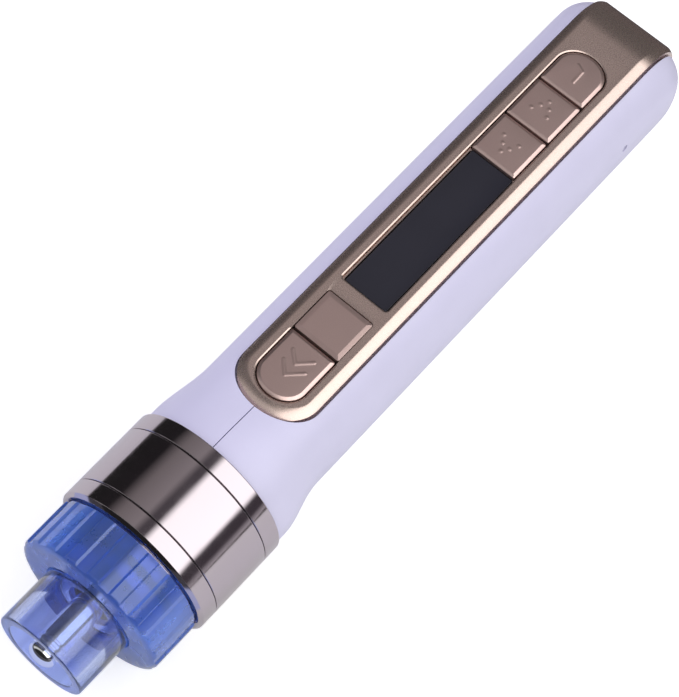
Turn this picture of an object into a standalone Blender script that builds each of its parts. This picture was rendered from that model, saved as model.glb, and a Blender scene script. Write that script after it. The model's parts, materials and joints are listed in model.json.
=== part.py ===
"""Hand-held mesotherapy pen: ribbed depth collar, clear nozzle, metal rings, split grip and key panel.

The pen lies along X with the nozzle at -X and the key panel facing up. Stations along the pen are
measured from the front face of the metal rings, and heights from the pen's axis. One empty carries
every piece and puts the underside on z = 0 and the middle of the pen's length on x = 0.
"""

import bmesh
import bpy
import numpy as np
from math import cos, pi, sin, tan
from mathutils import Matrix, Vector

MM = 0.001

# Gaps between pieces
SEAT_GAP = 0.3 * MM
RUN_GAP = 0.2 * MM
OVERRUN = 1.0 * MM

# Metal rings: the driving radius of the whole pen
RING_R = 18.0 * MM
RING_WALL = 2.1 * MM
RING_FRONT_LENGTH = 4.4 * MM
RING_BARREL_LENGTH = 13.9 * MM
RING_REAR_LENGTH = 4.1 * MM
RING_LEAD_CHAMFER = 0.7 * MM
RING_EDGE_CHAMFER = 0.25 * MM

# Nozzle: a clear cup that slides in the collar
NOZZLE_INSET = 6.85 * MM
NOZZLE_WALL = 2.35 * MM
NOZZLE_REACH = 24.8 * MM
NOZZLE_REAR_GAP = 0.4 * MM
NOZZLE_FLOOR = 1.0 * MM
NOZZLE_FLANGE = 1.0 * MM
NOZZLE_RIM_ROUND = 0.3 * MM
NOZZLE_TRAVEL = 2.5 * MM

# Depth collar: ribbed outside, runs on the nose core
COLLAR_STEP = 1.0 * MM
COLLAR_RIB_DEPTH = 0.4 * MM
COLLAR_RIBS = 19
COLLAR_RIB_SHARE = 0.5
COLLAR_LENGTH = 11.4 * MM
COLLAR_LIP = 1.2 * MM
COLLAR_WALL = 4.7 * MM
COLLAR_FACE_ROUND = 1.8 * MM
COLLAR_FACE_DROP = 1.1 * MM
COLLAR_RING_GAP = 0.5 * MM
COLLAR_EDGE = 0.3 * MM

# Nose core: spigot, flange and motor sleeve
CORE_SPIGOT_LENGTH = 6.0 * MM
CORE_FRONT_WALL = 2.0 * MM
CORE_FLANGE_INSET = 1.6 * MM
CORE_FLANGE_LENGTH = 0.5 * MM
CORE_SPIGOT_WALL = 3.0 * MM
CORE_WEB_AT = 10.5 * MM
CORE_WEB = 1.8 * MM
CORE_TAIL_LENGTH = 2.6 * MM
CORE_SLEEVE_WALL = 3.3 * MM
CORE_TAIL_WALL = 1.0 * MM
SEAL_R = 0.6 * MM
SEAL_GROOVE_WIDTH = 1.8 * MM
SEAL_GROOVE_DEPTH = 1.1 * MM

# Push rod with its guide, wiper and return spring
ROD_R = 3.15 * MM
ROD_PROUD = 1.1 * MM
ROD_TIP_DOME = 2.0 * MM
ROD_TRAVEL = 2.0 * MM
ROD_GROOVE = 0.6 * MM
ROD_GROOVE_DEPTH = 0.3 * MM
ROD_GROOVE_FIRST = 2.05 * MM
ROD_GROOVE_PITCH = 1.25 * MM
ROD_GROOVES = 3
ROD_HEAD_R = 5.4 * MM
ROD_HEAD_THICK = 1.2 * MM
ROD_HEAD_AT = 2.4 * MM
NUB_R = 1.2 * MM
NUB_OFFSET = 3.6 * MM
BUSH_R = 4.7 * MM
BUSH_REACH = 3.9 * MM
BUSH_HEAD_R = 5.4 * MM
BUSH_HEAD_THICK = 1.0 * MM
WIPER_THICK = 0.8 * MM
SPRING_WIRE_R = 0.25 * MM
SPRING_MEAN_R = 3.75 * MM
SPRING_TURNS = 3.0
SPRING_POINTS_PER_TURN = 14

# Swash cam, motor and its shaft
CAM_R = 5.4 * MM
CAM_REAR_AT = 9.9 * MM
SHAFT_R = 1.0 * MM
SHAFT_IN_CAM = 3.4 * MM
SHAFT_IN_MOTOR = 3.0 * MM
MOTOR_LENGTH = 19.5 * MM
MOTOR_BOSS_R = 3.0 * MM
MOTOR_BOSS_LENGTH = 1.6 * MM
MOTOR_CAP_R = 9.5 * MM
MOTOR_CAP_LENGTH = 1.8 * MM
MOTOR_EDGE = 0.8 * MM

# Grip shells: a near-constant section, flared at the neck and rounded at the tail
GRIP_SIDE_INSET = 2.95 * MM
GRIP_TOP_INSET = 2.5 * MM
GRIP_BELLY_SWELL = 0.7 * MM
GRIP_WIDEST_AT = 1.5 * MM
GRIP_TOP_POWER = 2.4
GRIP_BELLY_POWER = 2.1
GRIP_WALL = 2.0 * MM
GRIP_END = 157.6 * MM
NECK_SIDE_INSET = 0.7 * MM
NECK_TOP_INSET = 1.8 * MM
NECK_BELLY_INSET = 0.5 * MM
NECK_STRAIGHT_END = 25.5 * MM
NECK_END = 39.0 * MM
NECK_FLARE_POWER = 1.3
TAIL_PLAN_ROUND = 9.0 * MM
TAIL_TOP_INSET = 2.5 * MM
TAIL_BELLY_INSET = 5.0 * MM
SEAM_GAP = 0.2 * MM
CAVITY_CEILING_INSET = 5.5 * MM
CAVITY_NECK_INSET = 4.2 * MM
CAVITY_NECK_END = 36.1 * MM
CAVITY_MOTOR_END = 32.6 * MM
CAVITY_END_WALL = 5.0 * MM
CAVITY_ROUND = 6.0 * MM
CAVITY_POWER = 2.6
CAVITY_BELLY_POWER = 2.1
NECK_SOCKET_DEPTH = 3.2 * MM

# Key panel: a bevelled band that wraps down over the tail
PANEL_FRONT = 34.8 * MM
PANEL_HALF_WIDTH = 9.15 * MM
PANEL_FACE_SINK = 0.2 * MM
PANEL_THICK = 2.9 * MM
PANEL_BEVEL_DROP = 1.0 * MM
PANEL_BEVEL_WIDTH = 1.5 * MM
PANEL_END_BEVEL_WIDTH = 0.5 * MM
PANEL_NOSE_LENGTH = 7.8 * MM
PANEL_NOSE_POWER = 2.0
PANEL_WRAP_INSET = 2.3 * MM
PANEL_WRAP_DROP = 2.5 * MM
PANEL_LEDGE_HALF_GAP = 7.0 * MM

# Keys and display, front to rear, in one line on the panel
KEY_HALF_WIDTH = 5.45 * MM
KEY_END_LENGTH = 4.6 * MM
KEY_PROUD = 0.3 * MM
KEY_DEPTH = 2.7 * MM
KEY_BEVEL = 0.55 * MM
KEY_TRAVEL = 0.35 * MM
KEY_LINE_GAP = 0.5 * MM
KEY_ROUND = 0.4 * MM
START_KEY_TIP = 38.5 * MM
START_KEY_LENGTH = 13.5 * MM
BLANK_KEY_LENGTH = 10.4 * MM
PANEL_BAR = 4.1 * MM
DISPLAY_LENGTH = 39.0 * MM
DISPLAY_RECESS = 0.7 * MM
DISPLAY_THICK = 1.2 * MM
DOWN_KEY_LENGTH = 10.5 * MM
UP_KEY_LENGTH = 10.5 * MM
POWER_KEY_LENGTH = 10.6 * MM
STEM_R = 1.5 * MM

# Control board and what stands on it
BOARD_BELOW_PANEL = 3.8 * MM
BOARD_THICK = 1.2 * MM
BOARD_HALF_WIDTH = 7.5 * MM
BOARD_FRONT = 40.0 * MM
BOARD_REAR = 143.6 * MM
SWITCH_WIDTH = 5.0 * MM
SWITCH_HEIGHT = 2.0 * MM
PLUNGER_R = 1.2 * MM
PLUNGER_HEIGHT = 0.5 * MM
CHIP_HEIGHT = 1.2 * MM
MAIN_CHIP_WIDTH = 7.0 * MM
DRIVER_CHIP_WIDTH = 5.0 * MM
DRIVER_CHIP_AT = 43.4 * MM
MODULE_HALF_WIDTH = 6.6 * MM
PIECE_EDGE = 0.3 * MM

# Battery, cradle and charging socket
CELL_SURROUND = 11.0 * MM
CELL_LENGTH = 50.0 * MM
CELL_FRONT = 62.0 * MM
CELL_NIPPLE_R = 2.5 * MM
CELL_NIPPLE = 1.0 * MM
CRADLE_WALL = 1.6 * MM
CRADLE_SIDE_GAP = 0.4 * MM
CRADLE_FLOOR = 1.2 * MM
CRADLE_ABOVE_SHELL = 2.6 * MM
SOCKET_R = 4.2 * MM
SOCKET_BORE_R = 2.9 * MM
SOCKET_PIN_R = 0.9 * MM
SOCKET_LENGTH = 12.0 * MM
SOCKET_DEPTH = 9.5 * MM
SOCKET_PIN_SHORT = 1.2 * MM
SOCKET_BELOW_PANEL = 1.2 * MM
SOCKET_INSET = 1.2 * MM

# Screws
SHELL_SCREW_R = 1.1 * MM
SHELL_SCREW_HEAD_R = 2.2 * MM
SHELL_SCREW_HEAD = 1.7 * MM
SHELL_SCREW_BITE = 6.0 * MM
BOSS_R = 3.0 * MM
BOSS_HEAD_INSET = 5.65 * MM
BOARD_SCREW_R = 0.8 * MM
BOARD_SCREW_HEAD_R = 1.6 * MM
BOARD_SCREW_HEAD = 1.0 * MM
BOARD_SCREW_BITE = 2.4 * MM
PANEL_POST_R = 1.9 * MM
REAR_POST_BEHIND = 1.2 * MM
SCREW_FRONT_AT = 48.0 * MM
SCREW_REAR_AT = 137.0 * MM
SCREW_UPPER = 0.5 * MM
SCREW_LOWER_FRONT = -9.0 * MM
SCREW_LOWER_REAR = -10.5 * MM

# Reset pinhole on the right side
PINHOLE_R = 0.8 * MM
PINHOLE_AT = 133.5 * MM
PINHOLE_ABOVE = 3.8 * MM

# Wires
WIRE_R = 0.55 * MM
MOTOR_WIRE_APART = 8.0 * MM
CELL_WIRE_APART = 4.0 * MM
WIRE_BEND = 5.0 * MM
WIRE_POINTS = 9

# Facets round the turned pieces and the grip
ROUND_STEPS = 48
CUP_STEPS = 40
CORE_STEPS = 32
SMALL_STEPS = 24
POST_STEPS = 16
HOLE_STEPS = 12
DOME_STEPS = 5
NUB_RINGS = 8
GRIP_AROUND = 40
WRAP_STEPS = 8
TAIL_STEPS = 9
KEY_END_STEPS = 8
CORNER_STEPS = 3
NOSE_STEPS = 8
SMOOTH_ANGLE = pi / 6

# Sizes and places worked out from the sizes above
COLLAR_R = RING_R - COLLAR_STEP
COLLAR_BORE_R = COLLAR_R - COLLAR_WALL
COLLAR_FACE_R = COLLAR_R - COLLAR_FACE_ROUND
NOZZLE_R = COLLAR_R - NOZZLE_INSET
CORE_FLANGE_R = COLLAR_R - CORE_FLANGE_INSET
CORE_CAVITY_R = COLLAR_BORE_R - SEAT_GAP - CORE_SPIGOT_WALL
MOTOR_R = RING_R - RING_WALL - SEAT_GAP - CORE_SLEEVE_WALL - SEAT_GAP
CORE_TAIL_R = MOTOR_R + SEAT_GAP + CORE_TAIL_WALL
GRIP_HALF_WIDTH = RING_R - GRIP_SIDE_INSET
GRIP_TOP = RING_R - GRIP_TOP_INSET
GRIP_BELLY = RING_R + GRIP_BELLY_SWELL
NECK_HALF_WIDTH = RING_R - NECK_SIDE_INSET
NECK_TOP = RING_R - NECK_TOP_INSET
NECK_BELLY = RING_R - NECK_BELLY_INSET
CAVITY_CEILING = GRIP_TOP - CAVITY_CEILING_INSET
CAVITY_NECK_CEILING = RING_R - CAVITY_NECK_INSET
TAIL_TOP_ROUND = GRIP_TOP - TAIL_TOP_INSET
TAIL_BELLY_ROUND = RING_R - TAIL_BELLY_INSET
PANEL_FACE = GRIP_TOP - PANEL_FACE_SINK
PANEL_WRAP_R = PANEL_FACE - PANEL_WRAP_INSET
CELL_R = RING_R - CELL_SURROUND
CRADLE_BELOW = RING_R - GRIP_WALL - CRADLE_ABOVE_SHELL
CELL_BELOW = CRADLE_BELOW - CRADLE_FLOOR - CELL_R
SOCKET_BELOW = PANEL_WRAP_R + PANEL_WRAP_DROP - PANEL_FACE + SOCKET_BELOW_PANEL + SOCKET_R
SOCKET_REAR = GRIP_END - SOCKET_INSET
BOSS_HEAD_FLOOR = GRIP_HALF_WIDTH - BOSS_HEAD_INSET
RING_1_END = RING_FRONT_LENGTH
RING_2_END = RING_1_END + RING_BARREL_LENGTH
RING_3_END = RING_2_END + RING_REAR_LENGTH
RING_BORE_R = RING_R - RING_WALL
SHELL_FRONT = RING_3_END + SEAT_GAP
COLLAR_REAR = -COLLAR_RING_GAP
COLLAR_FRONT = COLLAR_REAR - COLLAR_LENGTH
SPIGOT_FRONT = -CORE_FLANGE_LENGTH - CORE_SPIGOT_LENGTH
NOZZLE_FRONT = -NOZZLE_REACH
ROD_TIP = NOZZLE_FRONT - ROD_PROUD
NOZZLE_REAR = SPIGOT_FRONT - NOZZLE_TRAVEL - NOZZLE_REAR_GAP
NOZZLE_FLOOR_REAR = NOZZLE_REAR - NOZZLE_FLANGE
NOZZLE_FLOOR_FRONT = NOZZLE_FLOOR_REAR - NOZZLE_FLOOR
WALL_REAR = SPIGOT_FRONT + CORE_FRONT_WALL
BUSH_FRONT = SPIGOT_FRONT - BUSH_REACH
BUSH_REAR = WALL_REAR + SEAT_GAP + BUSH_HEAD_THICK
ROD_HEAD_REAR = ROD_HEAD_AT + ROD_HEAD_THICK
NUB_TIP = ROD_HEAD_REAR + NUB_R
CAM_SLOPE = ROD_TRAVEL / (NUB_OFFSET + NUB_OFFSET)
CAM_MIDDLE_AT = NUB_TIP + ROD_TRAVEL + SEAT_GAP - ROD_TRAVEL / 2
WEB_REAR = CORE_WEB_AT + CORE_WEB
MOTOR_FRONT = WEB_REAR + SEAT_GAP
MOTOR_REAR = MOTOR_FRONT + MOTOR_LENGTH
MOTOR_CAP_FRONT = MOTOR_REAR + SEAT_GAP
MOTOR_CAP_REAR = MOTOR_CAP_FRONT + MOTOR_CAP_LENGTH
PANEL_BOTTOM = PANEL_FACE - PANEL_THICK
BOARD_TOP = PANEL_BOTTOM - BOARD_BELOW_PANEL
PANEL_WRAP_AT = GRIP_END - PANEL_WRAP_R
PANEL_END = PANEL_WRAP_AT + PANEL_WRAP_R
KEY_TOP = PANEL_FACE + KEY_PROUD
START_KEY_REAR = START_KEY_TIP + START_KEY_LENGTH
BLANK_KEY_FRONT = START_KEY_REAR + KEY_LINE_GAP
BLANK_KEY_REAR = BLANK_KEY_FRONT + BLANK_KEY_LENGTH
DISPLAY_FRONT = BLANK_KEY_REAR + PANEL_BAR
DISPLAY_REAR = DISPLAY_FRONT + DISPLAY_LENGTH
DOWN_KEY_FRONT = DISPLAY_REAR + KEY_LINE_GAP
DOWN_KEY_REAR = DOWN_KEY_FRONT + DOWN_KEY_LENGTH
UP_KEY_FRONT = DOWN_KEY_REAR + KEY_LINE_GAP
UP_KEY_REAR = UP_KEY_FRONT + UP_KEY_LENGTH
POWER_KEY_FRONT = UP_KEY_REAR + KEY_LINE_GAP
POWER_KEY_TIP = POWER_KEY_FRONT + POWER_KEY_LENGTH
SWITCH_TOP = BOARD_TOP + SEAT_GAP + SWITCH_HEIGHT
STEM_BOTTOM = SWITCH_TOP + PLUNGER_HEIGHT + KEY_TRAVEL + RUN_GAP
BAR_MIDDLE = BLANK_KEY_REAR + PANEL_BAR / 2
REAR_POST_AT = POWER_KEY_TIP + SEAT_GAP + REAR_POST_BEHIND + PANEL_POST_R / 2
BOARD_BOTTOM = BOARD_TOP - BOARD_THICK
CAVITY_REAR = GRIP_END - CAVITY_END_WALL
MIDDLE_STATION = (ROD_TIP + PANEL_END) / 2

PARTS = "mesotherapy_pen"
CUTTERS = "mesotherapy_pen_cutters"


def clear_scene():
    """Remove what the file holds, so that the script starts from nothing."""
    for obj in list(bpy.data.objects):
        bpy.data.objects.remove(obj, do_unlink=True)
    for name in (PARTS, CUTTERS):
        old = bpy.data.collections.get(name)
        if old:
            bpy.data.collections.remove(old)


def new_collection(name):
    """Make a collection in the scene and return it."""
    collection = bpy.data.collections.new(name)
    bpy.context.scene.collection.children.link(collection)
    return collection


clear_scene()
parts = new_collection(PARTS)
cutters = new_collection(CUTTERS)
carrier = bpy.data.objects.new("pen_carrier", None)
carrier.location = (-MIDDLE_STATION, 0, RING_R)
carrier.empty_display_size = RING_R
parts.objects.link(carrier)


def finish(name, colour, roughness, metallic=0.0, transmission=0.0):
    """A Principled material with the finish of one sub-part."""
    material = bpy.data.materials.new(name)
    material.use_nodes = True
    shader = material.node_tree.nodes["Principled BSDF"]
    shader.inputs["Base Color"].default_value = (*colour, 1)
    shader.inputs["Roughness"].default_value = roughness
    shader.inputs["Metallic"].default_value = metallic
    shader.inputs["Transmission Weight"].default_value = transmission
    material.diffuse_color = (*colour, 1)
    return material


def place(obj, material=None, is_cutter=False):
    """Put an object in its collection, under the carrier, with its material and smooth round faces."""
    for owner in list(obj.users_collection):
        owner.objects.unlink(obj)
    (cutters if is_cutter else parts).objects.link(obj)
    obj.parent = carrier
    if is_cutter:
        obj.hide_render = True
        obj.display_type = "WIRE"
    if material:
        obj.data.materials.clear()
        obj.data.materials.append(material)
    return obj


def smooth(obj):
    """Shade a round piece smooth and keep its real edges sharp."""
    obj.data.shade_smooth()
    obj.data.set_sharp_from_angle(angle=SMOOTH_ANGLE)
    return obj


def mesh_object(name, bm):
    """Make an object from a bmesh."""
    mesh = bpy.data.meshes.new(name)
    bm.to_mesh(mesh)
    bm.free()
    return bpy.data.objects.new(name, mesh)


def turned(name, profile, closed=False, steps=ROUND_STEPS):
    """Turn a profile of (station, radius) points about the pen's axis.

    The points run from the tail end to the nozzle end along the outer side, and a closed profile
    then comes back along its bore.
    """
    mesh = bpy.data.meshes.new(name)
    points = [(radius, 0, station) for station, radius in profile]
    edges = [(i, i + 1) for i in range(len(points) - 1)]
    if closed:
        edges.append((len(points) - 1, 0))
    mesh.from_pydata(points, edges, [])
    obj = bpy.data.objects.new(name, mesh)
    obj.rotation_euler = (0, pi / 2, 0)
    screw = obj.modifiers.new("turn", "SCREW")
    screw.angle = 2 * pi
    screw.steps = steps
    screw.render_steps = steps
    screw.use_merge_vertices = True
    screw.merge_threshold = MM / 1000
    screw.use_smooth_shade = True
    screw.use_normal_calculate = False
    return obj


def box(name, low, high):
    """A box between two corners, with its origin at its middle."""
    bm = bmesh.new()
    size = Vector(high) - Vector(low)
    bmesh.ops.create_cube(bm, size=1, matrix=Matrix.Diagonal((*size, 1)))
    obj = mesh_object(name, bm)
    obj.location = (Vector(high) + Vector(low)) / 2
    return obj


def rod_between(name, start, end, radius, steps=SMALL_STEPS, end_radius=None):
    """A cylinder or cone from one point to another."""
    start, end = Vector(start), Vector(end)
    along = end - start
    bm = bmesh.new()
    bmesh.ops.create_cone(
        bm,
        cap_ends=True,
        segments=steps,
        radius1=radius,
        radius2=radius if end_radius is None else end_radius,
        depth=along.length,
    )
    obj = mesh_object(name, bm)
    obj.location = (start + end) / 2
    obj.rotation_euler = along.to_track_quat("Z", "Y").to_euler()
    return smooth(obj)


def plate(name, outline, low, high):
    """A flat plate with this outline, from a 2D curve made a mesh, between two heights."""
    curve = bpy.data.curves.new(name + "_outline", "CURVE")
    curve.dimensions = "2D"
    curve.fill_mode = "BOTH"
    curve.extrude = (high - low) / 2
    spline = curve.splines.new("POLY")
    spline.points.add(len(outline) - 1)
    for point, (x, y) in zip(spline.points, outline):
        point.co = (x, y, 0, 1)
    spline.use_cyclic_u = True
    source = bpy.data.objects.new(name + "_outline", curve)
    parts.objects.link(source)
    bpy.context.view_layer.update()
    graph = bpy.context.evaluated_depsgraph_get()
    mesh = bpy.data.meshes.new_from_object(source.evaluated_get(graph))
    obj = bpy.data.objects.new(name, mesh)
    obj.matrix_world = source.matrix_world
    bpy.data.objects.remove(source)
    bpy.data.curves.remove(curve)
    bm = bmesh.new()
    bm.from_mesh(mesh)
    bmesh.ops.remove_doubles(bm, verts=bm.verts, dist=MM / 1000)
    bmesh.ops.dissolve_limit(bm, angle_limit=MM, verts=bm.verts, edges=bm.edges)
    bmesh.ops.recalc_face_normals(bm, faces=bm.faces)
    bm.to_mesh(mesh)
    bm.free()
    obj.location = (0, 0, (high + low) / 2)
    return obj


def loft(name, sections):
    """A closed solid through sections, an array of stations by points by xyz, with flat ends."""
    stations, around = sections.shape[:2]
    corner = np.arange(stations * around).reshape(stations, around)
    follow = np.roll(corner, -1, axis=1)
    sides = np.stack([corner[:-1], follow[:-1], follow[1:], corner[1:]], axis=2)
    faces = [list(map(int, face)) for face in sides.reshape(-1, 4)]
    faces.append([int(i) for i in corner[0][::-1]])
    faces.append([int(i) for i in corner[-1]])
    mesh = bpy.data.meshes.new(name)
    mesh.from_pydata(sections.reshape(-1, 3).tolist(), [], faces)
    bm = bmesh.new()
    bm.from_mesh(mesh)
    bmesh.ops.recalc_face_normals(bm, faces=bm.faces)
    bm.to_mesh(mesh)
    bm.free()
    return bpy.data.objects.new(name, mesh)


def boolean(obj, other, operation):
    """Cut, join or keep with another object, by the exact solver."""
    modifier = obj.modifiers.new(operation.lower() + "_" + other.name, "BOOLEAN")
    modifier.operation = operation
    modifier.object = other
    modifier.solver = "EXACT"
    return obj


def bevel(obj, width, segments=2, angle=SMOOTH_ANGLE):
    """Round the sharp edges of a piece."""
    modifier = obj.modifiers.new("edges", "BEVEL")
    modifier.width = width
    modifier.segments = segments
    modifier.limit_method = "ANGLE"
    modifier.angle_limit = angle
    modifier.use_clamp_overlap = True
    return obj


def tube(name, points, radius, sides=2):
    """A wire through the given points, with filled ends."""
    curve = bpy.data.curves.new(name, "CURVE")
    curve.dimensions = "3D"
    curve.bevel_depth = radius
    curve.bevel_resolution = sides
    curve.use_fill_caps = True
    spline = curve.splines.new("POLY")
    spline.points.add(len(points) - 1)
    for point, place_ in zip(spline.points, points):
        point.co = (*place_, 1)
    return bpy.data.objects.new(name, curve)


# Finishes, from the photograph
BLUE_CLEAR = finish("clear_blue_polycarbonate", (0.10, 0.22, 0.58), 0.12, 0.0, 0.5)
POLISHED = finish("polished_nickel", (0.66, 0.63, 0.62), 0.12, 1.0)
ROD_STEEL = finish("polished_steel", (0.62, 0.62, 0.63), 0.1, 1.0)
BLACK_PLASTIC = finish("black_plastic", (0.02, 0.02, 0.022), 0.45)
BLACK_RUBBER = finish("black_rubber", (0.015, 0.015, 0.015), 0.7)
PALE_SHELL = finish("lilac_white_plastic", (0.67, 0.65, 0.80), 0.35)
ROSE_METAL = finish("rose_gold_lacquer", (0.27, 0.19, 0.165), 0.35, 0.8)
DARK_GLASS = finish("dark_glass", (0.02, 0.02, 0.028), 0.08)
BOARD_GREEN = finish("green_circuit_board", (0.02, 0.16, 0.07), 0.5)
MOTOR_STEEL = finish("zinc_plated_steel", (0.55, 0.55, 0.56), 0.3, 1.0)
BRASS = finish("brass", (0.75, 0.52, 0.2), 0.3, 1.0)
CELL_WRAP = finish("battery_sleeve", (0.05, 0.12, 0.4), 0.4)
RED_WIRE = finish("red_wire", (0.5, 0.02, 0.02), 0.5)
BLACK_WIRE = finish("black_wire", (0.02, 0.02, 0.02), 0.5)


def make_ring(name, front, rear, lead):
    """One metal ring, with a lead chamfer on its front edge and small ones at the grooves."""
    edge = RING_EDGE_CHAMFER
    profile = [
        (rear, RING_R - edge),
        (rear - edge, RING_R),
        (front + lead, RING_R),
        (front, RING_R - lead),
        (front, RING_BORE_R),
        (rear, RING_BORE_R),
    ]
    return place(turned(name, profile, closed=True), POLISHED)


def make_rings():
    """The three metal rings, with a thin dark groove between each two."""
    half = SEAT_GAP / 2
    make_ring("front_ring", 0, RING_1_END - half, RING_LEAD_CHAMFER)
    make_ring("barrel_ring", RING_1_END + half, RING_2_END - half, RING_EDGE_CHAMFER)
    make_ring("rear_ring", RING_2_END + half, RING_3_END, RING_EDGE_CHAMFER)


def make_nozzle():
    """The clear cup, with a floor that the guide bush passes through and a sliding flange."""
    bore = NOZZLE_R - NOZZLE_WALL
    eye = BUSH_R + SEAT_GAP
    flange = COLLAR_BORE_R - SEAT_GAP
    rim = NOZZLE_RIM_ROUND
    profile = [
        (NOZZLE_REAR, flange),
        (NOZZLE_FLOOR_REAR, flange),
        (NOZZLE_FLOOR_REAR, NOZZLE_R),
        (NOZZLE_FRONT + rim, NOZZLE_R),
        (NOZZLE_FRONT, NOZZLE_R - rim),
        (NOZZLE_FRONT, bore + rim),
        (NOZZLE_FRONT + rim, bore),
        (NOZZLE_FLOOR_FRONT, bore),
        (NOZZLE_FLOOR_FRONT, eye),
        (NOZZLE_REAR, eye),
    ]
    return place(turned("nozzle", profile, closed=True, steps=CUP_STEPS), BLUE_CLEAR)


def make_collar():
    """The ribbed collar: a turned body with grooves cut between its ribs."""
    lip_bore = NOZZLE_R + SEAT_GAP
    shoulder = COLLAR_FRONT + COLLAR_LIP
    rib_front = COLLAR_FRONT + COLLAR_FACE_DROP
    profile = [
        (COLLAR_REAR, COLLAR_R - COLLAR_EDGE),
        (COLLAR_REAR - COLLAR_EDGE, COLLAR_R),
        (rib_front, COLLAR_R),
        (COLLAR_FRONT + COLLAR_FACE_DROP / 3, (COLLAR_R + COLLAR_FACE_R + COLLAR_R) / 3),
        (COLLAR_FRONT, COLLAR_FACE_R),
        (COLLAR_FRONT, lip_bore),
        (shoulder, lip_bore),
        (shoulder, COLLAR_BORE_R),
        (COLLAR_REAR, COLLAR_BORE_R),
    ]
    collar = turned("depth_collar", profile, closed=True, steps=4 * COLLAR_RIBS)
    place(collar, BLUE_CLEAR)
    # One toothed ring takes all the grooves: its inner outline is the collar's own ribbed outline
    pitch = 2 * pi / COLLAR_RIBS
    half_rib = pitch * COLLAR_RIB_SHARE / 2
    inner = []
    for rib in range(COLLAR_RIBS):
        middle = rib * pitch
        inner.append((middle - half_rib, COLLAR_R + OVERRUN))
        inner.append((middle + half_rib, COLLAR_R + OVERRUN))
        inner.append((middle + half_rib, COLLAR_R - COLLAR_RIB_DEPTH))
        inner.append((middle + pitch - half_rib, COLLAR_R - COLLAR_RIB_DEPTH))
    outer_r = COLLAR_R + OVERRUN + OVERRUN
    front, rear = COLLAR_FRONT - OVERRUN, COLLAR_REAR + OVERRUN
    rows = []
    for station, radii in ((front, None), (front, outer_r), (rear, outer_r), (rear, None)):
        row = []
        for angle, radius in inner:
            reach = radius if radii is None else radii
            row.append((station, reach * cos(angle), reach * sin(angle)))
        rows.append(row)
    cutter = closed_ring("collar_groove_cutter", np.array(rows))
    place(cutter, is_cutter=True)
    boolean(collar, cutter, "DIFFERENCE")
    return collar


def closed_ring(name, rows):
    """A ring-shaped solid from rows of points that close both ways."""
    count, around = rows.shape[:2]
    corner = np.arange(count * around).reshape(count, around)
    follow = np.roll(corner, -1, axis=1)
    below, below_follow = np.roll(corner, -1, axis=0), np.roll(follow, -1, axis=0)
    sides = np.stack([corner, follow, below_follow, below], axis=2)
    mesh = bpy.data.meshes.new(name)
    mesh.from_pydata(rows.reshape(-1, 3).tolist(), [], sides.reshape(-1, 4).tolist())
    bm = bmesh.new()
    bm.from_mesh(mesh)
    bmesh.ops.recalc_face_normals(bm, faces=bm.faces)
    bm.to_mesh(mesh)
    bm.free()
    return bpy.data.objects.new(name, mesh)


def make_core():
    """The metal nose core: spigot for the collar, flange, sleeve in the rings and motor pocket."""
    spigot_r = COLLAR_BORE_R - SEAT_GAP
    sleeve_r = RING_BORE_R - SEAT_GAP
    tail_front = RING_3_END + SEAT_GAP
    groove_rear = SPIGOT_FRONT / 2 + SEAL_GROOVE_WIDTH / 2
    groove_front = groove_rear - SEAL_GROOVE_WIDTH
    groove_floor = spigot_r - SEAL_GROOVE_DEPTH
    profile = [
        (tail_front + CORE_TAIL_LENGTH, CORE_TAIL_R),
        (tail_front, CORE_TAIL_R),
        (tail_front, sleeve_r),
        (0, sleeve_r),
        (0, CORE_FLANGE_R),
        (-CORE_FLANGE_LENGTH + SEAT_GAP, CORE_FLANGE_R),
        (-CORE_FLANGE_LENGTH + SEAT_GAP, spigot_r),
        (groove_rear, spigot_r),
        (groove_rear, groove_floor),
        (groove_front, groove_floor),
        (groove_front, spigot_r),
        (SPIGOT_FRONT, spigot_r),
        (SPIGOT_FRONT, BUSH_R + RUN_GAP),
        (WALL_REAR, BUSH_R + RUN_GAP),
        (WALL_REAR, CORE_CAVITY_R),
        (CORE_WEB_AT, CORE_CAVITY_R),
        (CORE_WEB_AT, MOTOR_BOSS_R + RUN_GAP),
        (WEB_REAR, MOTOR_BOSS_R + RUN_GAP),
        (WEB_REAR, MOTOR_R + SEAT_GAP),
        (tail_front + CORE_TAIL_LENGTH, MOTOR_R + SEAT_GAP),
    ]
    place(turned("nose_core", profile, closed=True, steps=CORE_STEPS), POLISHED)
    ring_middle = (groove_rear + groove_front) / 2
    ring_r = groove_floor + RUN_GAP + SEAL_R
    circle = [
        (ring_middle + SEAL_R * cos(turn), ring_r + SEAL_R * sin(turn))
        for turn in (k * pi / 3 for k in range(6))
    ]
    place(turned("collar_seal", circle, closed=True, steps=SMALL_STEPS), BLACK_RUBBER)


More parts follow.
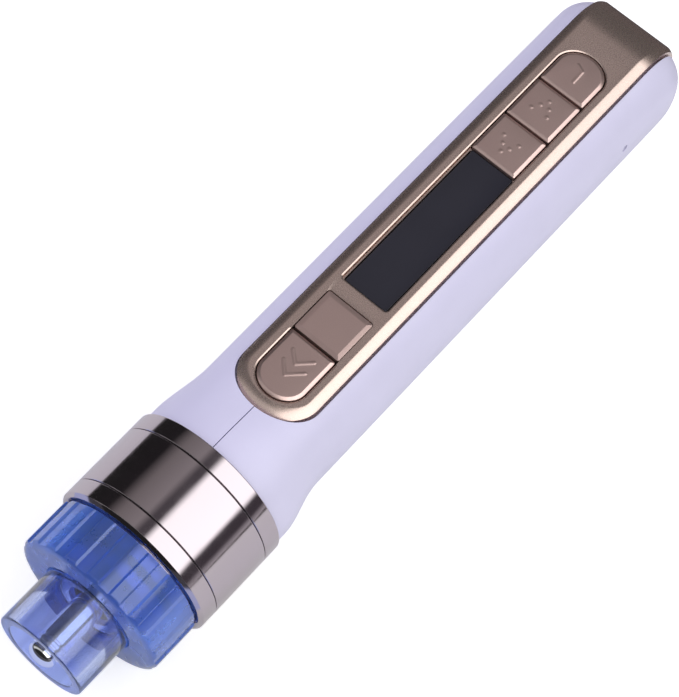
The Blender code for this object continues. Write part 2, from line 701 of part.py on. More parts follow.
def make_bush():
    """The guide bush of the rod, held by its head behind the front wall, and its rubber wiper."""
    bore = ROD_R + RUN_GAP
    lip = BUSH_R - (BUSH_R - bore) / 2
    profile = [
        (BUSH_REAR, BUSH_HEAD_R),
        (WALL_REAR + SEAT_GAP, BUSH_HEAD_R),
        (WALL_REAR + SEAT_GAP, BUSH_R),
        (BUSH_FRONT, BUSH_R),
        (BUSH_FRONT, lip),
        (BUSH_FRONT + WIPER_THICK + RUN_GAP, lip),
        (BUSH_FRONT + WIPER_THICK + RUN_GAP, bore),
        (BUSH_REAR, bore),
    ]
    place(turned("guide_bush", profile, closed=True, steps=SMALL_STEPS), BLACK_PLASTIC)
    wiper = [
        (BUSH_FRONT + WIPER_THICK, lip - RUN_GAP / 2),
        (BUSH_FRONT, lip - RUN_GAP / 2),
        (BUSH_FRONT, ROD_R + RUN_GAP / 2),
        (BUSH_FRONT + WIPER_THICK, ROD_R + RUN_GAP / 2),
    ]
    place(turned("rod_wiper", wiper, closed=True, steps=SMALL_STEPS), BLACK_RUBBER)


def make_rod():
    """The push rod: domed tip, turned grooves, and a rear head with the nub that meets the cam."""
    profile = [
        (ROD_HEAD_REAR, 0),
        (ROD_HEAD_REAR, ROD_HEAD_R),
        (ROD_HEAD_AT, ROD_HEAD_R),
        (ROD_HEAD_AT, ROD_R),
    ]
    for groove in reversed(range(ROD_GROOVES)):
        front = ROD_TIP + ROD_GROOVE_FIRST + groove * ROD_GROOVE_PITCH
        profile.append((front + ROD_GROOVE, ROD_R))
        profile.append((front + ROD_GROOVE / 2, ROD_R - ROD_GROOVE_DEPTH))
        profile.append((front, ROD_R))
    for step in range(DOME_STEPS + 1):
        turn = pi / 2 * step / DOME_STEPS
        reach = ROD_R * cos(turn) if step < DOME_STEPS else 0
        profile.append((ROD_TIP + ROD_TIP_DOME * (1 - sin(turn)), reach))
    rod = place(turned("push_rod", profile, steps=SMALL_STEPS), ROD_STEEL)
    bm = bmesh.new()
    bmesh.ops.create_uvsphere(bm, u_segments=HOLE_STEPS, v_segments=NUB_RINGS, radius=NUB_R)
    nub = mesh_object("rod_nub", bm)
    nub.location = (ROD_HEAD_REAR, 0, NUB_OFFSET)
    place(nub, is_cutter=True)
    boolean(rod, nub, "UNION")
    return rod


def make_spring():
    """The return spring, a helix between the bush head and the rod's head."""
    front = BUSH_REAR + SEAT_GAP + SPRING_WIRE_R
    rear = ROD_HEAD_AT - SEAT_GAP - SPRING_WIRE_R
    count = int(SPRING_TURNS * SPRING_POINTS_PER_TURN) + 1
    points = []
    for i in range(count):
        share = i / (count - 1)
        turn = 2 * pi * SPRING_TURNS * share
        points.append(
            (front + (rear - front) * share, SPRING_MEAN_R * cos(turn), SPRING_MEAN_R * sin(turn))
        )
    pitch = (rear - front) / SPRING_TURNS
    print("return spring, least gap between turns in mm:", round((pitch - 2 * SPRING_WIRE_R) / MM, 2))
    return place(tube("return_spring", points, SPRING_WIRE_R, sides=1), MOTOR_STEEL)


def make_cam():
    """The swash cam, its front face sloped by the rod's travel, and the motor shaft it sits on."""
    blank = rod_between("swash_cam", (NUB_TIP - OVERRUN, 0, 0), (CAM_REAR_AT, 0, 0), CAM_R, CORE_STEPS)
    place(blank, BRASS)
    reach = CAM_R + OVERRUN
    low, high = CAM_MIDDLE_AT + CAM_SLOPE * reach, CAM_MIDDLE_AT - CAM_SLOPE * reach
    front = NUB_TIP - OVERRUN - OVERRUN
    wedge = np.array(
        [
            [(front, y, -reach), (high, y, -reach), (low, y, reach), (front, y, reach)]
            for y in (-reach, reach)
        ]
    )
    cutter = place(loft("cam_slope_cutter", wedge), is_cutter=True)
    boolean(blank, cutter, "DIFFERENCE")
    shaft_front = CAM_REAR_AT - SHAFT_IN_CAM
    bore = rod_between(
        "cam_bore_cutter", (shaft_front - OVERRUN - ROD_TRAVEL, 0, 0), (CAM_REAR_AT + OVERRUN, 0, 0), SHAFT_R + RUN_GAP
    )
    place(bore, is_cutter=True)
    boolean(blank, bore, "DIFFERENCE")
    shaft = rod_between("motor_shaft", (shaft_front, 0, 0), (MOTOR_FRONT + SHAFT_IN_MOTOR, 0, 0), SHAFT_R)
    place(shaft, ROD_STEEL)


def make_motor():
    """The motor can, with its front boss and shaft hole, and the end cap behind it."""
    edge = MOTOR_EDGE
    boss_front = MOTOR_FRONT - MOTOR_BOSS_LENGTH
    hole_end = MOTOR_FRONT + SHAFT_IN_MOTOR + SEAT_GAP
    profile = [
        (MOTOR_REAR, 0),
        (MOTOR_REAR, MOTOR_R - edge),
        (MOTOR_REAR - edge, MOTOR_R),
        (MOTOR_FRONT + edge, MOTOR_R),
        (MOTOR_FRONT, MOTOR_R - edge),
        (MOTOR_FRONT, MOTOR_BOSS_R),
        (boss_front, MOTOR_BOSS_R),
        (boss_front, SHAFT_R + RUN_GAP),
        (hole_end, SHAFT_R + RUN_GAP),
        (hole_end, 0),
    ]
    place(turned("motor_can", profile, steps=CUP_STEPS), MOTOR_STEEL)
    cap = rod_between("motor_end_cap", (MOTOR_CAP_FRONT, 0, 0), (MOTOR_CAP_REAR, 0, 0), MOTOR_CAP_R, CORE_STEPS)
    place(cap, BLACK_PLASTIC)


def rounded_fall(x, start, radius):
    """How much a quarter round of this radius, starting at a station, has fallen there."""
    past = np.clip((x - start) / radius, 0, 1)
    return radius * (1 - np.sqrt(1 - past * past))


def section(x, half_width, top, belly, widest, top_power, belly_power, around, floor):
    """One closed section of the grip: a powered ellipse above its widest line and another below."""
    turn = 2 * pi * (np.arange(around) + 0.5) / around
    c, s = np.cos(turn), np.sin(turn)
    power = np.where(s >= 0, top_power, belly_power)
    height = np.where(s >= 0, top - widest, belly + widest)
    y = half_width * np.sign(c) * np.abs(c) ** (2 / power)
    z = widest + height * np.sign(s) * np.abs(s) ** (2 / power)
    z = np.maximum(z, floor)
    return np.stack([np.full(around, x), y, z], axis=1)


def neck_flare(x):
    """The neck's flare at a station: 1 at the rings, then an S-shaped fall to 0 at the grip."""
    past = float(np.clip((x - NECK_STRAIGHT_END) / (NECK_END - NECK_STRAIGHT_END), 0, 1))
    return (1 - past * past * (3 - past - past)) ** NECK_FLARE_POWER


def half_width_at(height, half_width, belly, power):
    """Half the width of a section of the grip at a height below its widest line."""
    below = (GRIP_WIDEST_AT - height) / (belly + GRIP_WIDEST_AT)
    return half_width * (1 - max(below, 0) ** power) ** (1 / power)


def grip_outer(name):
    """The outer form of the grip, from the neck behind the rings to the rounded tail."""
    neck = np.concatenate([[SHELL_FRONT], np.linspace(NECK_STRAIGHT_END, NECK_END, TAIL_STEPS)])
    tail_start = GRIP_END - TAIL_TOP_ROUND
    tail = tail_start + TAIL_TOP_ROUND * np.sin(np.linspace(0, pi / 2, TAIL_STEPS))
    stations = np.concatenate([neck, np.linspace(NECK_END, tail_start, 5)[1:-1], tail])
    rows = []
    for x in stations:
        flare = neck_flare(x)
        half = GRIP_HALF_WIDTH + (NECK_HALF_WIDTH - GRIP_HALF_WIDTH) * flare
        half -= rounded_fall(x, GRIP_END - TAIL_PLAN_ROUND, TAIL_PLAN_ROUND)
        top = GRIP_TOP + (NECK_TOP - GRIP_TOP) * flare
        top -= rounded_fall(x, tail_start, TAIL_TOP_ROUND)
        belly = GRIP_BELLY + (NECK_BELLY - GRIP_BELLY) * flare
        lift = rounded_fall(x, GRIP_END - TAIL_BELLY_ROUND, TAIL_BELLY_ROUND)
        widest = min(GRIP_WIDEST_AT * (1 - flare), top / 2)
        power = 2 + (GRIP_TOP_POWER - 2) * (1 - flare)
        rows.append(
            section(x, half, top, belly - lift, widest, power, GRIP_BELLY_POWER, GRIP_AROUND, lift - RING_R)
        )
    return loft(name, np.array(rows))


def grip_cavity(name):
    """The hollow of the grip: wide round the motor, then under the panel's ledge to the tail."""
    wide = GRIP_HALF_WIDTH - GRIP_WALL
    neck_wide = NECK_HALF_WIDTH - GRIP_WALL
    socket_end = SHELL_FRONT + NECK_SOCKET_DEPTH
    stations = [SHELL_FRONT - OVERRUN, SHELL_FRONT, socket_end, CAVITY_MOTOR_END, CAVITY_NECK_END]
    stations += list(np.linspace(CAVITY_NECK_END, CAVITY_REAR - CAVITY_ROUND, 3)[1:])
    stations += list(CAVITY_REAR - CAVITY_ROUND + CAVITY_ROUND * np.sin(np.linspace(0, pi / 2, 4))[1:])
    rows = []
    for x in stations:
        low = float(np.clip((x - CAVITY_MOTOR_END) / (CAVITY_NECK_END - CAVITY_MOTOR_END), 0, 1))
        half = wide + (neck_wide - wide) * neck_flare(x)
        half -= rounded_fall(x, CAVITY_REAR - CAVITY_ROUND, CAVITY_ROUND)
        top = CAVITY_NECK_CEILING + (CAVITY_CEILING - CAVITY_NECK_CEILING) * low
        belly = RING_R - GRIP_WALL - (RING_R - NECK_BELLY) * neck_flare(x)
        fall = rounded_fall(x, CAVITY_REAR - CAVITY_ROUND, CAVITY_ROUND)
        widest = GRIP_WIDEST_AT * (1 - neck_flare(x))
        belly_power = CAVITY_POWER + (CAVITY_BELLY_POWER - CAVITY_POWER) * low
        rows.append(
            section(x, half, top - fall, belly - fall, widest, CAVITY_POWER, belly_power, SMALL_STEPS, -RING_R)
        )
    return loft(name, np.array(rows))


def nose_half_width(x, front, length, half_width):
    """Half the width of a blunt rounded nose at a station."""
    ahead = np.clip((front + length - x) / length, 0, 1)
    return half_width * (1 - ahead**PANEL_NOSE_POWER) ** (1 / PANEL_NOSE_POWER)


def panel_band(name, grow=0.0, above=0.0):
    """The key panel as a bevelled band: flat along the grip, then a quarter round down the tail.

    With grow it is the same band, larger by that much all round, and reaching above its face.
    """
    front = PANEL_FRONT - grow
    nose = PANEL_NOSE_LENGTH
    turns = np.linspace(pi / 12, pi / 2, NOSE_STEPS)
    nose_x = front + nose * (1 - np.cos(turns) ** (2 / PANEL_NOSE_POWER))
    flats = np.linspace(nose_x[-1], PANEL_WRAP_AT, 4)[1:]
    rows = []
    for x in np.concatenate([nose_x, flats]):
        base = nose_half_width(x, front, nose, PANEL_HALF_WIDTH + grow)
        inner = nose_half_width(
            x, front + PANEL_BEVEL_WIDTH, nose - PANEL_BEVEL_WIDTH, PANEL_HALF_WIDTH - PANEL_BEVEL_WIDTH
        )
        inner = max(float(inner), base / 8)
        sink = PANEL_BEVEL_DROP * float(np.clip(1 - (x - front) / PANEL_BEVEL_WIDTH, 0, 1))
        rows.append(panel_section((x, PANEL_FACE), (0, 1), base, inner, sink, grow, above))
    for turn in np.linspace(0, pi / 2, WRAP_STEPS + 1)[1:]:
        centre = (PANEL_WRAP_AT, PANEL_FACE - PANEL_WRAP_R)
        out = (sin(turn), cos(turn))
        at = (centre[0] + PANEL_WRAP_R * out[0], centre[1] + PANEL_WRAP_R * out[1])
        done = turn / (pi / 2)
        width = PANEL_BEVEL_WIDTH + (PANEL_END_BEVEL_WIDTH - PANEL_BEVEL_WIDTH) * done
        base = PANEL_HALF_WIDTH + grow
        rows.append(panel_section(at, out, base, PANEL_HALF_WIDTH - width, 0, grow, above, done))
    last = (PANEL_WRAP_AT + PANEL_WRAP_R, PANEL_FACE - PANEL_WRAP_R - PANEL_WRAP_DROP - grow)
    inner = PANEL_HALF_WIDTH - PANEL_END_BEVEL_WIDTH
    rows.append(panel_section(last, (1, 0), PANEL_HALF_WIDTH + grow, inner, 0, grow, above, 1))
    return loft(name, np.array(rows))


def panel_section(at, out, base, inner, sink, grow, above, done=0.0):
    """Six points across the panel: bottom corner, bevel foot and bevel top on each side."""
    end_share = PANEL_END_BEVEL_WIDTH / PANEL_BEVEL_WIDTH
    drop = PANEL_BEVEL_DROP * (1 + (end_share - 1) * done)
    if above:
        inner, drop, sink = base, -above, -above
    across = (
        (-base, PANEL_THICK + grow),
        (-base, drop),
        (-inner, sink),
        (inner, sink),
        (base, drop),
        (base, PANEL_THICK + grow),
    )
    if above:
        across = ((-base, PANEL_THICK + grow), (-base, -above), (base, -above), (base, PANEL_THICK + grow))
    return [(at[0] - depth * out[0], y, at[1] - depth * out[1]) for y, depth in across]


def rounded_outline(front, rear, half_width, round_front, round_rear, grow=0.0):
    """A key's outline, with a blunt round end or a small corner round at each end."""
    points = []
    small = KEY_ROUND + grow
    front, rear, half_width = front - grow, rear + grow, half_width + grow
    for end, is_round, side in ((front, round_front, 1), (rear, round_rear, -1)):
        length = KEY_END_LENGTH + grow if is_round else small
        across = half_width if is_round else small
        inset = half_width - across
        for corner in (1, -1):
            count = KEY_END_STEPS if is_round else CORNER_STEPS
            for i in range(count + 1):
                if is_round and corner == -1 and i == 0:
                    continue
                turn = pi / 2 * i / count
                turn = pi / 2 - turn if corner == 1 else turn
                x = end + side * length * (1 - cos(turn))
                y = side * corner * (inset + across * sin(turn))
                points.append((x, y))
    return points


def make_panel():
    """The panel with its two slots and the posts that carry the control board."""
    panel = place(panel_band("panel_frame"), ROSE_METAL)
    high = PANEL_FACE + OVERRUN
    low = PANEL_BOTTOM - OVERRUN
    front_slot = plate(
        "front_slot_cutter",
        rounded_outline(START_KEY_TIP, BLANK_KEY_REAR, KEY_HALF_WIDTH, True, False, SEAT_GAP),
        low,
        high,
    )
    rear_slot = plate(
        "rear_slot_cutter",
        rounded_outline(DISPLAY_FRONT, POWER_KEY_TIP, KEY_HALF_WIDTH, False, True, SEAT_GAP),
        low,
        high,
    )
    for slot in (front_slot, rear_slot):
        place(slot, is_cutter=True)
        boolean(panel, slot, "DIFFERENCE")
    post_end = BOARD_TOP + SEAT_GAP
    for label, at in (("bar", BAR_MIDDLE), ("rear", REAR_POST_AT)):
        radius = PANEL_BAR / 2 - SEAT_GAP if label == "bar" else PANEL_POST_R
        post = rod_between(label + "_post", (at, 0, post_end), (at, 0, PANEL_BOTTOM + OVERRUN), radius, POST_STEPS)
        place(post, is_cutter=True)
        boolean(panel, post, "UNION")
        hole_top = post_end + BOARD_SCREW_BITE + SEAT_GAP
        hole = rod_between(
            label + "_post_hole", (at, 0, post_end - OVERRUN), (at, 0, hole_top), BOARD_SCREW_R + RUN_GAP, HOLE_STEPS
        )
        place(hole, is_cutter=True)
        boolean(panel, hole, "DIFFERENCE")
        head_top = BOARD_BOTTOM - RUN_GAP
        tip = post_end + BOARD_SCREW_BITE
        bolt = stepped_pin(
            "board_screw_" + label, head_top - BOARD_SCREW_HEAD, head_top, tip, BOARD_SCREW_HEAD_R, BOARD_SCREW_R
        )
        bolt.location = (at, 0, 0)
        place(bolt, MOTOR_STEEL)
    return panel


def stepped_pin(name, head_end, head_top, tip, head_r, shank_r):
    """A screw as a turned pin along its own Z, head at the low end."""
    profile = [(0, tip), (shank_r, tip), (shank_r, head_top), (head_r, head_top), (head_r, head_end), (0, head_end)]
    mesh = bpy.data.meshes.new(name)
    points = [(radius, 0, height) for radius, height in profile]
    mesh.from_pydata(points, [(i, i + 1) for i in range(len(points) - 1)], [])
    obj = bpy.data.objects.new(name, mesh)
    screw = obj.modifiers.new("turn", "SCREW")
    screw.angle = 2 * pi
    screw.steps = POST_STEPS
    screw.render_steps = POST_STEPS
    screw.use_merge_vertices = True
    screw.merge_threshold = MM / 1000
    screw.use_smooth_shade = True
    return obj


def make_key(name, front, rear, round_front=False, round_rear=False):
    """One key: a cap with bevelled edges and a stem over its switch, with its origin at its middle."""
    middle = (front + rear) / 2
    outline = rounded_outline(front - middle, rear - middle, KEY_HALF_WIDTH, round_front, round_rear)
    key = plate(name, outline, KEY_TOP - KEY_DEPTH, KEY_TOP)
    key.location.x = middle
    place(key, ROSE_METAL)
    bevel(key, KEY_BEVEL, segments=2, angle=pi / 3)
    stem_top = KEY_TOP - KEY_DEPTH + OVERRUN
    stem = rod_between(name + "_stem", (middle, 0, STEM_BOTTOM), (middle, 0, stem_top), STEM_R, POST_STEPS)
    place(stem, is_cutter=True)
    boolean(key, stem, "UNION")
    make_switch(name.replace("_key", "") + "_switch", middle)
    return key


def make_switch(name, at):
    """A push switch on the board under a key, with its round plunger."""
    half = SWITCH_WIDTH / 2
    floor = BOARD_TOP + SEAT_GAP
    body = box(name, (at - half, -half, floor), (at + half, half, SWITCH_TOP))
    place(body, BLACK_PLASTIC)
    plunger = rod_between(
        name + "_plunger", (at, 0, SWITCH_TOP - OVERRUN), (at, 0, SWITCH_TOP + PLUNGER_HEIGHT), PLUNGER_R, HOLE_STEPS
    )
    place(plunger, is_cutter=True)
    boolean(body, plunger, "UNION")


def make_keys():
    """The five keys, front to rear."""
    make_key("start_key", START_KEY_TIP, START_KEY_REAR, round_front=True)
    make_key("blank_key", BLANK_KEY_FRONT, BLANK_KEY_REAR)
    make_key("down_key", DOWN_KEY_FRONT, DOWN_KEY_REAR)
    make_key("up_key", UP_KEY_FRONT, UP_KEY_REAR)
    make_key("power_key", POWER_KEY_FRONT, POWER_KEY_TIP, round_rear=True)


def make_display():
    """The dark window in the panel and the display module under it."""
    window_top = PANEL_FACE - DISPLAY_RECESS
    window_bottom = window_top - DISPLAY_THICK
    window = box(
        "display_window",
        (DISPLAY_FRONT, -KEY_HALF_WIDTH, window_bottom),
        (DISPLAY_REAR, KEY_HALF_WIDTH, window_top),
    )
    place(bevel(window, PIECE_EDGE, segments=1), DARK_GLASS)
    module = box(
        "display_module",
        (DISPLAY_FRONT, -MODULE_HALF_WIDTH, BOARD_TOP + SEAT_GAP),
        (DISPLAY_REAR, MODULE_HALF_WIDTH, PANEL_BOTTOM - SEAT_GAP),
    )
    raised = box(
        "display_glass_step",
        (DISPLAY_FRONT, -KEY_HALF_WIDTH, PANEL_BOTTOM - OVERRUN),
        (DISPLAY_REAR, KEY_HALF_WIDTH, window_bottom - SEAT_GAP),
    )
    place(module, BLACK_PLASTIC)
    place(raised, is_cutter=True)
    boolean(module, raised, "UNION")


def make_board():
    """The control board, with clearance holes for its two screws, and its chips underneath."""
    board = box(
        "control_board", (BOARD_FRONT, -BOARD_HALF_WIDTH, BOARD_BOTTOM), (BOARD_REAR, BOARD_HALF_WIDTH, BOARD_TOP)
    )
    place(board, BOARD_GREEN)
    for label, at in (("bar", BAR_MIDDLE), ("rear", REAR_POST_AT)):
        hole = rod_between(
            label + "_board_hole",
            (at, 0, BOARD_BOTTOM - OVERRUN),
            (at, 0, BOARD_TOP + OVERRUN),
            BOARD_SCREW_R + RUN_GAP,
            HOLE_STEPS,
        )
        place(hole, is_cutter=True)
        boolean(board, hole, "DIFFERENCE")
    top = BOARD_BOTTOM - SEAT_GAP
    display_middle = (DISPLAY_FRONT + DISPLAY_REAR) / 2
    for name, at, width in (
        ("main_chip", display_middle, MAIN_CHIP_WIDTH),
        ("driver_chip", DRIVER_CHIP_AT, DRIVER_CHIP_WIDTH),
    ):
        half = width / 2
        chip = box(name, (at - half, -half, top - CHIP_HEIGHT), (at + half, half, top))
        place(bevel(chip, PIECE_EDGE, segments=1), BLACK_PLASTIC)


def make_battery():
    """The round cell, with its contact nipple towards the tail, in an open cradle."""
    rear = CELL_FRONT + CELL_LENGTH
    profile = [
        (rear + CELL_NIPPLE, 0),
        (rear + CELL_NIPPLE, CELL_NIPPLE_R),
        (rear, CELL_NIPPLE_R),
        (rear, CELL_R - PIECE_EDGE),
        (rear - PIECE_EDGE, CELL_R),
        (CELL_FRONT + PIECE_EDGE, CELL_R),
        (CELL_FRONT, CELL_R - PIECE_EDGE),
        (CELL_FRONT, 0),
    ]
    cell = turned("battery_cell", profile, steps=CORE_STEPS)
    cell.location = (0, 0, -CELL_BELOW)
    place(cell, CELL_WRAP)
    front_end = CELL_FRONT - SEAT_GAP - CRADLE_WALL
    rear_end = rear + CELL_NIPPLE + SEAT_GAP + CRADLE_WALL
    inner_half, inner_belly = GRIP_HALF_WIDTH - GRIP_WALL, RING_R - GRIP_WALL
    half = half_width_at(-CRADLE_BELOW, inner_half, inner_belly, CAVITY_BELLY_POWER) - CRADLE_SIDE_GAP
    cradle = box("battery_cradle", (front_end, -half, -CRADLE_BELOW), (rear_end, half, -CELL_BELOW - RUN_GAP))
    place(cradle, BLACK_PLASTIC)
    hollow = rod_between(
        "cradle_cutter",
        (front_end + CRADLE_WALL, 0, -CELL_BELOW),
        (rear_end - CRADLE_WALL, 0, -CELL_BELOW),
        CELL_R + SEAT_GAP,
        CORE_STEPS,
    )
    place(hollow, is_cutter=True)
    boolean(cradle, hollow, "DIFFERENCE")


def make_socket():
    """The round charging socket in the tail wall, with its centre pin."""
    front = SOCKET_REAR - SOCKET_LENGTH
    floor = SOCKET_REAR - SOCKET_DEPTH
    profile = [
        (front, 0),
        (front, SOCKET_R),
        (SOCKET_REAR, SOCKET_R),
        (SOCKET_REAR, SOCKET_BORE_R),
        (floor, SOCKET_BORE_R),
        (floor, SOCKET_PIN_R),
        (SOCKET_REAR - SOCKET_PIN_SHORT, SOCKET_PIN_R),
        (SOCKET_REAR - SOCKET_PIN_SHORT, 0),
    ]
    socket = turned("charge_socket", profile[::-1], steps=SMALL_STEPS)
    socket.location = (0, 0, -SOCKET_BELOW)
    place(socket, BLACK_PLASTIC)


def screw_places():
    """The four shell screws: name, station and height."""
    return (
        ("front_upper", SCREW_FRONT_AT, SCREW_UPPER),
        ("front_lower", SCREW_FRONT_AT, SCREW_LOWER_FRONT),
        ("rear_upper", SCREW_REAR_AT, SCREW_UPPER),
        ("rear_lower", SCREW_REAR_AT, SCREW_LOWER_REAR),
    )


def make_shells():
    """The two grip shells, split on the middle plane, with the panel's seat, bosses and holes."""
    panel_seat = place(panel_band("panel_seat_cutter", grow=SEAT_GAP, above=PANEL_WRAP_R), is_cutter=True)
    cavity = place(grip_cavity("grip_cavity_cutter"), is_cutter=True)
    window = box(
        "ledge_window_cutter",
        (START_KEY_TIP - SEAT_GAP, -PANEL_LEDGE_HALF_GAP, 0),
        (BOARD_REAR + SEAT_GAP, PANEL_LEDGE_HALF_GAP, PANEL_FACE),
    )
    place(window, is_cutter=True)
    socket_hole = rod_between(
        "socket_hole_cutter",
        (CAVITY_REAR - OVERRUN, 0, -SOCKET_BELOW),
        (GRIP_END + OVERRUN, 0, -SOCKET_BELOW),
        SOCKET_R + RUN_GAP,
    )
    place(socket_hole, is_cutter=True)
    reach = NECK_HALF_WIDTH + OVERRUN
    for name, side in (("shell_left", 1), ("shell_right", -1)):
        shell = place(grip_outer(name), PALE_SHELL)
        boolean(shell, cavity, "DIFFERENCE")
        for label, at, height in screw_places():
            reach_out = half_width_at(height - BOSS_R, GRIP_HALF_WIDTH, GRIP_BELLY, GRIP_BELLY_POWER)
            reach_out -= GRIP_WALL / 2
            boss = rod_between(
                name + "_boss_" + label, (at, 0, height), (at, side * reach_out, height), BOSS_R, POST_STEPS
            )
            place(boss, is_cutter=True)
            boolean(shell, boss, "UNION")
        boolean(shell, panel_seat, "DIFFERENCE")
        boolean(shell, window, "DIFFERENCE")
        boolean(shell, socket_hole, "DIFFERENCE")
        near, far = side * SEAM_GAP / 2, side * reach
        half = box(
            name + "_half",
            (SHELL_FRONT - OVERRUN, min(near, far), -reach - OVERRUN),
            (GRIP_END + OVERRUN, max(near, far), reach),
        )
        place(half, is_cutter=True)
        boolean(shell, half, "INTERSECT")
        for label, at, height in screw_places():
            end = side * reach if side > 0 else side * (SHELL_SCREW_BITE + SEAT_GAP)
            hole = rod_between(
                name + "_hole_" + label, (at, -side * OVERRUN, height), (at, end, height), SHELL_SCREW_R + RUN_GAP, HOLE_STEPS
            )
            place(hole, is_cutter=True)
            boolean(shell, hole, "DIFFERENCE")
            if side > 0:
                pocket = rod_between(
                    name + "_pocket_" + label,
                    (at, BOSS_HEAD_FLOOR, height),
                    (at, reach, height),
                    SHELL_SCREW_HEAD_R + RUN_GAP,
                    POST_STEPS,
                )
                place(pocket, is_cutter=True)
                boolean(shell, pocket, "DIFFERENCE")
        if side < 0:
            pinhole = rod_between(
                "pinhole_cutter",
                (PINHOLE_AT, -reach, PINHOLE_ABOVE),
                (PINHOLE_AT, GRIP_WALL + OVERRUN - GRIP_HALF_WIDTH + GRIP_WALL, PINHOLE_ABOVE),
                PINHOLE_R,
                HOLE_STEPS,
            )
            place(pinhole, is_cutter=True)
            boolean(shell, pinhole, "DIFFERENCE")


def make_shell_screws():
    """Four screws that enter from the left shell and bite in the right shell's bosses."""
    head_floor = BOSS_HEAD_FLOOR + RUN_GAP
    for label, at, height in screw_places():
        pin = stepped_pin(
            "shell_screw_" + label,
            -head_floor - SHELL_SCREW_HEAD,
            -head_floor,
            SHELL_SCREW_BITE,
            SHELL_SCREW_HEAD_R,
            SHELL_SCREW_R,
        )
        pin.location = (at, 0, height)
        pin.rotation_euler = (pi / 2, 0, 0)
        place(pin, MOTOR_STEEL)


def bent_route(start, end, first, last):
    """Points on a smooth curve that leaves and arrives in the given directions."""
    start, end = Vector(start), Vector(end)
    a = start + Vector(first)
    b = end - Vector(last)
    points = []
    for i in range(WIRE_POINTS):
        t = i / (WIRE_POINTS - 1)
        u = 1 - t
        points.append(start * u**3 + a * (3 * u * u * t) + b * (3 * u * t * t) + end * t**3)
    return points


def make_wires():
    """Two motor leads and two battery leads to the underside of the board."""
    top = BOARD_BOTTOM - SEAT_GAP
    motor_end = MOTOR_CAP_REAR + SEAT_GAP
    board_front = BOARD_FRONT + WIRE_BEND / 2
    cell_rear = CELL_FRONT + CELL_LENGTH + CELL_NIPPLE + SEAT_GAP
    wires = (
        ("motor_lead_red", RED_WIRE, 1, motor_end, MOTOR_WIRE_APART / 2, 1, board_front),
        ("motor_lead_black", BLACK_WIRE, -1, motor_end, MOTOR_WIRE_APART / 2, 1, board_front),
    )
    for name, material, side, x, apart, along, to in wires:
        points = bent_route(
            (x, side * apart, 0), (to, side * apart, top), (along * WIRE_BEND, 0, 0), (0, 0, WIRE_BEND / 2)
        )
        place(tube(name, points, WIRE_R, sides=1), material)
    wall_rear = cell_rear + CRADLE_WALL + SEAT_GAP
    wall_front = CELL_FRONT - SEAT_GAP - CRADLE_WALL - SEAT_GAP
    for name, material, x, along in (
        ("battery_lead_red", RED_WIRE, wall_rear, 1),
        ("battery_lead_black", BLACK_WIRE, wall_front, -1),
    ):
        below = -CELL_BELOW - CELL_R / 2
        points = bent_route(
            (x, CELL_WIRE_APART / 2, below), (x + along * WIRE_BEND, CELL_WIRE_APART / 2, top),
            (along * WIRE_BEND, 0, 0), (0, 0, WIRE_BEND),
        )
        place(tube(name, points, WIRE_R, sides=1), material)


make_rings()
make_nozzle()
make_collar()
make_core()
make_bush()
make_rod()
make_spring()
make_cam()
make_motor()
make_panel()
make_keys()
make_display()
make_board()
make_battery()
make_socket()
make_shells()
make_shell_screws()
make_wires()
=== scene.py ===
"""Hand-held mesotherapy pen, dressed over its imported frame.

The file is laid out as an add-on and run as a script. Each operator makes one group of pieces in metres,
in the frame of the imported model: the pen lies along X with its nozzle at -X, its key panel facing up and
the surface it lies on at z = 0. Stations run along the pen from the front face of the metal rings, and
sides and heights are measured from the pen's axis.
"""

import json
from math import pi, radians

import bmesh
import bpy
import numpy as np
from bpy.props import FloatProperty, FloatVectorProperty, IntProperty, PointerProperty
from mathutils import Matrix, Vector

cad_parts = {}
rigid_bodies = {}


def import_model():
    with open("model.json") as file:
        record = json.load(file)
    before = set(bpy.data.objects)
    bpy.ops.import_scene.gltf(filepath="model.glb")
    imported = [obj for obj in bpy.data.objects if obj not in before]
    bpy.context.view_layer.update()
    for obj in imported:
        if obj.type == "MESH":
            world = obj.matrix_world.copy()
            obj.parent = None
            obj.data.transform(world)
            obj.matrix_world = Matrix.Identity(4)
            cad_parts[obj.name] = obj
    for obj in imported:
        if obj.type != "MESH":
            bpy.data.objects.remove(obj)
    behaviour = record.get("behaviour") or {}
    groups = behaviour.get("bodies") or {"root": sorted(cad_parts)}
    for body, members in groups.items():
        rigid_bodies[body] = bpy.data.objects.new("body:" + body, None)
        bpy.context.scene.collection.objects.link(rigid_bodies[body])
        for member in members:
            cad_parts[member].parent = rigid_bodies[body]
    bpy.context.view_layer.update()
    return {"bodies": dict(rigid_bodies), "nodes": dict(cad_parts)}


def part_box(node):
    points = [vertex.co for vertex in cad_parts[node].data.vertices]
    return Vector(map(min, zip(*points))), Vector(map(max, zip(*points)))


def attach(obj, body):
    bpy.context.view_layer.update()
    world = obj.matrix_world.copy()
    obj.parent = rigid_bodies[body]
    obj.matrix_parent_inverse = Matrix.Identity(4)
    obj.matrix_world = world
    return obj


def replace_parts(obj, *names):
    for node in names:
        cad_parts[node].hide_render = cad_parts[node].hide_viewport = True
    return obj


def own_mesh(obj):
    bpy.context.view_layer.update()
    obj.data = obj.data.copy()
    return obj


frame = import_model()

bl_info = {
    "name": "Mesotherapy pen",
    "version": (1, 0, 0),
    "blender": (4, 5, 0),
    "location": "3D View > Sidebar > Pen",
    "description": "Makes the dressed pieces of a hand-held mesotherapy pen over its frame",
    "category": "Object",
}

MM = 0.001
MERGE = MM / 10000

